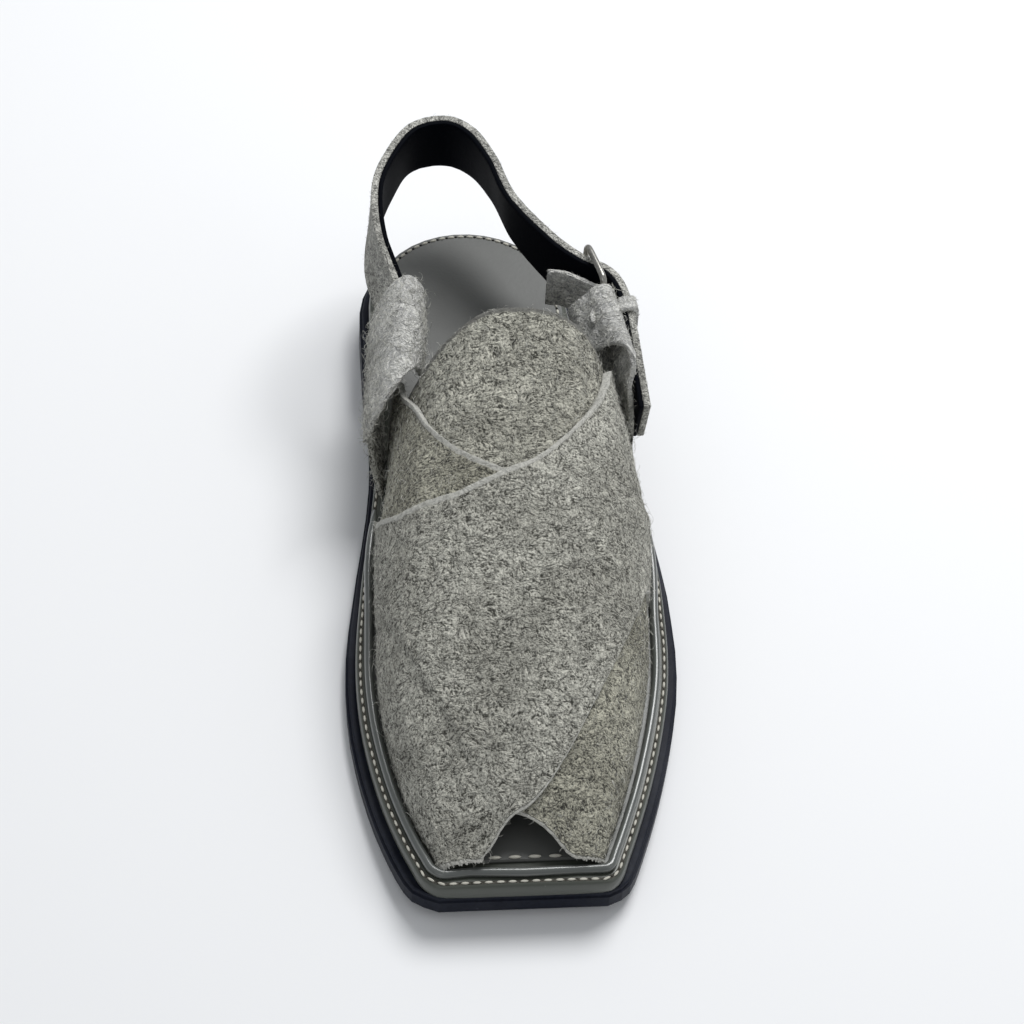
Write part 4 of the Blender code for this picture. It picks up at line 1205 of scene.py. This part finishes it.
def channel(name, points, tree):
    """Sunk strip of raw brown leather that the welt's stitches lie in, its darkness partly painted
    shade of the groove under the bead.
    """
    places = spaced(points, 0.0016)
    work = bmesh.new()
    made = bmesh.ops.create_grid(work, x_segments=len(places) - 1, y_segments=4, size=0.5)
    for point in made["verts"]:
        place, along = places[round((point.co.x + 0.5) * (len(places) - 1))]
        side = along.cross(Vector((0, 0, 1))).normalized()
        spot = place + side * point.co.y * CHANNEL_WIDTH
        ground, normal = drop(tree, spot.x, spot.y)
        raised = 0.00010 if abs(point.co.y) < 0.4 else -0.00010
        point.co = ground + normal * raised
    bmesh.ops.solidify(work, geom=work.faces, thickness=0.0003)
    bmesh.ops.recalc_face_normals(work, faces=work.faces)
    material, nodes, shader, where = new_material("raw_leather_and_groove_shade", 0.85, Specular_IOR_Level=0.15)
    grit = noise_of(nodes, where, 1200.0, 4.0, 0.7)
    spots = step_of(nodes, grit, 0.35, 0.62)
    # Dark mottled colour: partly the raw leather's own brown, partly painted shade of the groove.
    colour = blend_of(nodes, spots, (0.018, 0.017, 0.014), (0.105, 0.100, 0.085))
    nodes.links.new(colour, shader.inputs["Base Color"])
    bump(nodes, shader, grit, 0.8, 0.0004)
    return publish(work, name, [material])


class CHAPPAL_OT_welt_stitches(bpy.types.Operator):
    """Sew the platform round the forefoot, in a shallow channel."""

    bl_idname = "chappal.welt_stitches"
    bl_label = "Welt stitches"

    def execute(self, context):
        size = sizes()
        tree = tree_of("welt", "insole")
        points = rounded(outline_points(size.welt_inset, 0.70, 90, True))
        for point in points:
            point.y -= toe_share(point.y) * WELT_ROW_FORWARD
        channel("welt_channel", points, tree)
        sew(
            "welt_stitches", points, size.stitch_pitch, size.stitch_length, size.thread_radius,
            tree, size.thread_radius * 0.45, thread(),
        )
        pits(
            "welt_holes", points, size.stitch_pitch, size.stitch_pitch / 2, tree, 0.00042,
        )
        return {"FINISHED"}


class CHAPPAL_OT_insole_stitches(bpy.types.Operator):
    """Sew the insole at the heel, with a hole between the stitches, and at the toe."""

    bl_idname = "chappal.insole_stitches"
    bl_label = "Insole stitches"

    def execute(self, context):
        size = sizes()
        tree = tree_of("welt", "insole")
        cotton = bpy.data.materials["thread"]
        points = outline_points(size.heel_inset, 0.70, 70, False)
        sew(
            "heel_stitches", points, size.stitch_pitch * 0.95, size.stitch_length * 0.9,
            size.thread_radius * 1.2, tree, size.thread_radius * 0.4, cotton,
        )
        pits(
            "heel_holes", points, size.stitch_pitch * 0.95, size.stitch_pitch * 0.475, tree,
            HOLE_RADIUS_SHOWN,
        )
        toe = [Vector((x, TOE_STITCH_Y, 0)) for x in TOE_STITCHES]
        work = bmesh.new()
        for place in toe:
            point, normal = drop(tree, place.x, place.y)
            stitch(
                work, point + normal * 0.0003, Vector((1, 0, 0)), normal, 0.0042, 0.00062
            )
        publish(work, "toe_stitches", [cotton])
        return {"FINISHED"}


HOLE_RADIUS_SHOWN = 0.00062
TOE_STITCH_Y = -0.2463
TOE_STITCHES = (-0.0072, -0.0009, 0.0054, 0.0118)


# Where each loop's roll is drawn out. from_y, to_y: the pull grows from 0 to 1 between
# them. from_z, to_z: as well. move: the whole pull
LOOP_PULLS = dict(
    medial=(
        dict(from_y=-0.044, to_y=-0.070, from_z=0.034, to_z=0.050,
             move=(-0.0042, -0.0120, -0.0062)),
    ),
    lateral=(
        dict(from_y=-0.056, to_y=-0.040, from_z=0.036, to_z=0.050, move=(-0.0006, 0.0075, 0.0012)),
        dict(from_y=-0.082, to_y=-0.064, from_z=0.050, to_z=0.060, move=(0.0042, 0.0, -0.0004)),
    ),
)


def pull_of(row, place):
    """How far a place of a loop is drawn out."""
    near = smooth((place.y - row["from_y"]) / (row["to_y"] - row["from_y"]))
    high = smooth((place.z - row["from_z"]) / (row["to_z"] - row["from_z"]))
    return Vector(row["move"]) * near * high


def soften_piece(node, name, materials, levels, depth, seed):
    """Rounded, slightly uneven piece in place of a solid."""
    work = soft_copy(node, levels)
    roughen(work, depth, 0.004, seed)
    return publish(work, name, materials, (node,))


class CHAPPAL_OT_loops(bpy.types.Operator):
    """Round and roughen the two suede loops, the keeper and the strip of the buckle, and draw out
    the loops' rolls.
    """

    bl_idname = "chappal.loops"
    bl_label = "Loops, keeper and chape"

    def execute(self, context):
        # The loops' tops are painted paler: painted highlight from the light above.
        hairy = suede("suede_loop", 0.95, 1.15, 0.1, painted_top_light=0.36)
        for side, seed in (("medial", 21.0), ("lateral", 27.0)):
            fold = soften_piece(side + "_loop", side + "_fold", [hairy], 2, 0.0005, seed)
            for point in fold.data.vertices:
                point.co += sum((pull_of(row, point.co) for row in LOOP_PULLS[side]), Vector())
        soften_piece("keeper", "keeper_band", [hairy], 2, 0.0002, 31.0)
        soften_piece("chape", "chape_strip", [hairy], 1, 0.0002, 36.0)
        return {"FINISHED"}


# Heel strap: suede outside, dark lining inside
SUEDE_SHARE = 0.60
# The first rows of its path, hidden in the medial loop, are left out
STRAP_START = 1.1


def strap_layer(name, near, far, materials, replaced, seed, count=170, bevel=0.0005):
    """One layer of the strap between two shares of its thickness, from the inside."""
    work = bmesh.new()
    made = bmesh.ops.create_grid(work, x_segments=count, y_segments=10, size=0.5)
    spans = len(STRAP_ROWS) - 1
    low = (near - 0.5) * STRAP_THICKNESS
    for point in made["verts"]:
        at = STRAP_START + (spans - STRAP_START) * (point.co.x + 0.5)
        middle, out, up, width = strap_place(at)
        wave = noise.noise(Vector((point.co.x * 130, point.co.y * 9, seed)))
        across = point.co.y * (width + 0.0003 * wave)
        point.co = middle + up * across + out * low
        point.normal = out
    faces = list(work.faces)
    bmesh.ops.recalc_face_normals(work, faces=faces)
    centre = min(faces, key=lambda face: abs(face.calc_center_median().y - 0.035))
    sign = 1 if centre.normal.dot(Vector((0, 1, 0))) > 0 else -1
    bmesh.ops.solidify(work, geom=faces, thickness=-sign * (far - near) * STRAP_THICKNESS)
    bmesh.ops.recalc_face_normals(work, faces=work.faces)
    rims = [edge for edge in work.edges if edge.calc_face_angle(0.0) > 1.0]
    bmesh.ops.bevel(
        work, geom=rims, offset=bevel, segments=2, profile=0.5, affect="EDGES", material=-1
    )
    return publish(work, name, materials, replaced)


class CHAPPAL_OT_heel_strap(bpy.types.Operator):
    """Lay the heel strap's suede and its dark lining along its path."""

    bl_idname = "chappal.heel_strap"
    bl_label = "Heel strap"

    def execute(self, context):
        # The lining's near-black colour is partly painted shade of the strap's inner face.
        lining = leather("lining_leather", colours().lining, 0.7, 0.0, 0.0, 0.3, 800.0, 0.4, 0.04)
        strap_layer("strap_lining", 0.0, 1 - SUEDE_SHARE, [lining], ("heel_strap",), 41.0)
        # The strap's upper part is painted a little paler: painted highlight from the light above.
        hairy = suede("suede_strap", 1.25, 1.3, 0.0, painted_top_light=0.10)
        strap_layer("strap_suede", 1 - SUEDE_SHARE, 1.0, [hairy], ("heel_strap",), 44.0)
        return {"FINISHED"}


class CHAPPAL_OT_buckle(bpy.types.Operator):
    """Round and finish the steel wire of the buckle and its prong."""

    bl_idname = "chappal.buckle"
    bl_label = "Buckle"

    def execute(self, context):
        metal = steel()
        for node, name in (("buckle_frame", "buckle_wire"), ("buckle_prong", "prong_wire")):
            work = soft_copy(node, 2, 70, 0.5)
            publish(work, name, [metal], (node,))
        return {"FINISHED"}


# Loose fibres
# kind: row of FIBRE_KINDS. count: fibres on the piece. size: of its usual length
FIBRE_FIELDS = (
    dict(piece="over_band", kind="short", count=8500, size=0.9, seed=3),
    dict(piece="under_band", kind="short", count=5000, size=0.9, seed=5),
    dict(piece="tongue_panel", kind="short", count=3600, size=1.1, seed=7),
    dict(piece="tongue_panel", kind="curl", count=700, size=1.0, seed=8),
    dict(piece="over_band", kind="curl", count=650, size=0.8, seed=9),
    dict(piece="under_band", kind="curl", count=600, size=0.8, seed=10),
    dict(piece="medial_fold", kind="short", count=3600, size=1.0, seed=11),
    dict(piece="medial_fold", kind="curl", count=700, size=0.9, seed=12),
    dict(piece="lateral_fold", kind="short", count=2600, size=0.95, seed=13),
    dict(piece="lateral_fold", kind="curl", count=350, size=0.8, seed=14),
    dict(piece="strap_suede", kind="short", count=3200, size=0.55, seed=17),
    dict(piece="chape_strip", kind="short", count=900, size=0.6, seed=19),
    dict(piece="keeper_band", kind="short", count=500, size=0.6, seed=23),
)
# length and thickness: shares of the settings. bend: turn of the fibre over its
# length, in radians. rise: how far its end stands off, as a share of its length
FIBRE_KINDS = dict(
    short=dict(length=0.8, thickness=0.9, bend=1.1, rise=0.22, cuts=2),
    curl=dict(length=2.1, thickness=1.0, bend=3.6, rise=0.30, cuts=6),
)


class CHAPPAL_OT_fibres(bpy.types.Operator):
    """Scatter loose fibres over the suede."""

    bl_idname = "chappal.fibres"
    bl_label = "Suede fibres"

    def execute(self, context):
        hair = fibre_material()
        shapes = {kind: fibre_object(kind) for kind in FIBRE_KINDS}
        for row in FIBRE_FIELDS:
            scatter(row, shapes[row["kind"]], hair)
        for shape in shapes.values():
            bpy.data.objects.remove(shape)
        return {"FINISHED"}


def fibre_material():
    """Pale fibre, a little uneven from one to the next."""
    material, tree, shader, place = new_material(
        "suede_fibre", 0.8, Sheen_Weight=0.2, Specular_IOR_Level=0.2
    )
    tone = noise_of(tree, place, 500.0, 1.0)
    pale = colours().suede_light
    dark = [value * 0.42 for value in pale]
    colour = blend_of(tree, step_of(tree, tone, 0.38, 0.62), dark, [value * 1.12 for value in pale])
    tree.links.new(colour, shader.inputs["Base Color"])
    return material


def fibre_object(kind):
    """One fibre as a mesh: a tapered three-sided thread that lies curled on the surface."""
    row = FIBRE_KINDS[kind]
    length = sizes().fibre_length * row["length"]
    radius = sizes().fibre_radius * row["thickness"]
    work = bmesh.new()
    bmesh.ops.create_cone(
        work, cap_ends=True, segments=3, radius1=radius, radius2=radius * 0.3, depth=length
    )
    sides = [edge for edge in work.edges if abs(edge.verts[0].co.z - edge.verts[1].co.z) > 1e-6]
    bmesh.ops.subdivide_edges(work, edges=sides, cuts=row["cuts"])
    bow = length / row["bend"]
    for point in work.verts:
        share = point.co.z / length + 0.5
        angle = row["bend"] * share
        across = Vector((-math.sin(angle), math.cos(angle), 0))
        centre = Vector((math.sin(angle), 1 - math.cos(angle), 0)) * bow
        centre.z = length * row["rise"] * math.sin(2.2 * share)
        point.co = centre + across * point.co.x + Vector((0, 0, point.co.y))
    bmesh.ops.recalc_face_normals(work, faces=work.faces)
    mesh = bpy.data.meshes.new("fibre_" + kind)
    work.to_mesh(mesh)
    work.free()
    shape = bpy.data.objects.new("fibre_" + kind, mesh)
    bpy.context.scene.collection.objects.link(shape)
    return shape


def scatter_group():
    """Geometry nodes that scatter one shape over a surface as a joined mesh."""
    group = bpy.data.node_groups.new("scatter_fibres", "GeometryNodeTree")
    for label, kind, way in (
        ("Geometry", "NodeSocketGeometry", "INPUT"), ("Fibre", "NodeSocketObject", "INPUT"),
        ("Density", "NodeSocketFloat", "INPUT"), ("Seed", "NodeSocketInt", "INPUT"),
        ("Size", "NodeSocketFloat", "INPUT"), ("Geometry", "NodeSocketGeometry", "OUTPUT"),
    ):
        group.interface.new_socket(label, in_out=way, socket_type=kind)
    start = group.nodes.new("NodeGroupInput").outputs
    end = group.nodes.new("NodeGroupOutput").inputs
    points = add(
        group, "GeometryNodeDistributePointsOnFaces",
        {"Mesh": start["Geometry"], "Density": start["Density"], "Seed": start["Seed"]},
    )
    info = add(group, "GeometryNodeObjectInfo", {"Object": start["Fibre"]})
    spin = add(
        group, "FunctionNodeRandomValue", {0: (-0.3, -0.3, -3.14), 1: (0.3, 0.3, 3.14)},
        data_type="FLOAT_VECTOR",
    )
    group.links.new(start["Seed"], spin.inputs["Seed"])
    turned = add(
        group, "FunctionNodeRotateRotation",
        {"Rotation": points.outputs["Rotation"], "Rotate By": spin.outputs[0]},
        rotation_space="LOCAL",
    )
    length = add(group, "FunctionNodeRandomValue", data_type="FLOAT")
    length.inputs[2].default_value = 0.35
    length.inputs[3].default_value = 1.25
    group.links.new(start["Seed"], length.inputs["Seed"])
    scale = add(
        group, "ShaderNodeMath", {0: length.outputs[1], 1: start["Size"]}, operation="MULTIPLY"
    )
    placed = add(
        group, "GeometryNodeInstanceOnPoints",
        {
            "Points": points.outputs["Points"], "Instance": info.outputs["Geometry"],
            "Rotation": turned.outputs[0], "Scale": scale.outputs[0],
        },
    )
    joined = add(group, "GeometryNodeRealizeInstances", {0: placed.outputs[0]})
    group.links.new(joined.outputs[0], end["Geometry"])
    return group


def scatter(row, shape, material):
    """Fibres on one piece, as a mesh of their own."""
    source = bpy.data.objects[row["piece"]]
    area = sum(face.area for face in source.data.polygons)
    helper = bpy.data.objects.new("helper", source.data.copy())
    bpy.context.scene.collection.objects.link(helper)
    group = bpy.data.node_groups.get("scatter_fibres") or scatter_group()
    modifier = helper.modifiers.new("scatter", "NODES")
    modifier.node_group = group
    values = {
        "Fibre": shape, "Density": row["count"] / area, "Seed": row["seed"],
        "Size": row["size"],
    }
    for item in group.interface.items_tree:
        if item.in_out == "INPUT" and item.name in values:
            modifier[item.identifier] = values[item.name]
    graph = bpy.context.evaluated_depsgraph_get()
    work = bmesh.new()
    work.from_object(helper, graph)
    bpy.data.objects.remove(helper)
    return publish(work, row["piece"] + "_" + row["kind"] + "_fibres", [material])


# Stage
EYE = Vector((-0.0765, -0.7864, 0.7810))
VIEW = Vector((0.0233, 0.6687, -0.7431))
# The shoe's middle beside and above the middle of the view, as tangents
BESIDE, ABOVE = 0.0601, 0.0015
LENS = 104.5
LIGHTS = (
    dict(name="softbox", place=(0.42, 0.52, 1.22), aim=(0.0, -0.12, 0.0), size=0.8, power=17.0),
    dict(name="fill", place=(1.2, -0.9, 0.9), aim=(0.0, -0.1, 0.0), size=1.2, power=1.8),
    dict(name="front", place=(-0.7, -1.4, 0.9), aim=(0.0, -0.1, 0.0), size=1.0, power=2.0),
)


class CHAPPAL_OT_stage(bpy.types.Operator):
    """Set the floor, the light and the camera."""

    bl_idname = "chappal.stage"
    bl_label = "Stage"

    def execute(self, context):
        scene = context.scene
        work = bmesh.new()
        bmesh.ops.create_circle(work, cap_ends=True, segments=96, radius=6.0)
        mesh = bpy.data.meshes.new("floor")
        work.to_mesh(mesh)
        work.free()
        floor = bpy.data.objects.new("floor", mesh)
        scene.collection.objects.link(floor)
        material, tree, shader, place = new_material("floor", 0.7, Specular_IOR_Level=0.1)
        faint = noise_of(tree, place, 3.0, 2.0)
        white = colours().floor
        tree.links.new(
            blend_of(tree, faint, [value * 0.985 for value in white], white),
            shader.inputs["Base Color"],
        )
        mesh.materials.append(material)
        for row in LIGHTS:
            data = bpy.data.lights.new(row["name"], "AREA")
            data.shape = "DISK"
            data.size = row["size"]
            data.energy = row["power"]
            lamp = bpy.data.objects.new(row["name"], data)
            lamp.location = row["place"]
            aim = Vector(row["aim"]) - lamp.location
            lamp.rotation_euler = aim.to_track_quat("-Z", "Y").to_euler()
            scene.collection.objects.link(lamp)
        world = bpy.data.worlds.new("studio")
        world.use_nodes = True
        sky = world.node_tree.nodes["Background"]
        sky.inputs[0].default_value = (0.94, 0.97, 1.0, 1.0)
        sky.inputs[1].default_value = 0.40
        scene.world = world
        data = bpy.data.cameras.new("camera")
        data.lens = LENS
        data.sensor_width = 36.0
        data.clip_start = 0.01
        camera = bpy.data.objects.new("camera", data)
        camera.location = EYE
        view = VIEW.normalized()
        right = view.cross(Vector((0, 0, 1))).normalized()
        aim = (view + right * BESIDE + right.cross(view) * ABOVE).normalized()
        turn = view.rotation_difference(aim) @ view.to_track_quat("-Z", "Y")
        camera.rotation_euler = turn.to_euler()
        scene.collection.objects.link(camera)
        scene.camera = camera
        scene.view_settings.view_transform = "Standard"
        return {"FINISHED"}


OPERATORS = (
    CHAPPAL_OT_sole, CHAPPAL_OT_welt_stitches, CHAPPAL_OT_insole_stitches, CHAPPAL_OT_bands,
    CHAPPAL_OT_loops, CHAPPAL_OT_heel_strap, CHAPPAL_OT_buckle, CHAPPAL_OT_fibres,
    CHAPPAL_OT_stage,
)


class CHAPPAL_PT_panel(bpy.types.Panel):
    """Settings and steps of the chappal."""

    bl_label = "Chappal"
    bl_idname = "CHAPPAL_PT_panel"
    bl_space_type = "VIEW_3D"
    bl_region_type = "UI"
    bl_category = "Chappal"

    def draw(self, context):
        for group in (context.scene.shoe_sizes, context.scene.shoe_colours):
            box = self.layout.box()
            for name in group.__annotations__:
                box.prop(group, name)
        for operator in OPERATORS:
            self.layout.operator(operator.bl_idname)


CLASSES = (ShoeSizes, ShoeColours, *OPERATORS, CHAPPAL_PT_panel)


def register():
    for item in CLASSES:
        bpy.utils.register_class(item)
    bpy.types.Scene.shoe_sizes = bpy.props.PointerProperty(type=ShoeSizes)
    bpy.types.Scene.shoe_colours = bpy.props.PointerProperty(type=ShoeColours)


def unregister():
    del bpy.types.Scene.shoe_colours
    del bpy.types.Scene.shoe_sizes
    for item in reversed(CLASSES):
        bpy.utils.unregister_class(item)


def main():
    register()
    for operator in OPERATORS:
        group, name = operator.bl_idname.split(".")
        getattr(getattr(bpy.ops, group), name)()


if __name__ == "__main__":
    main()
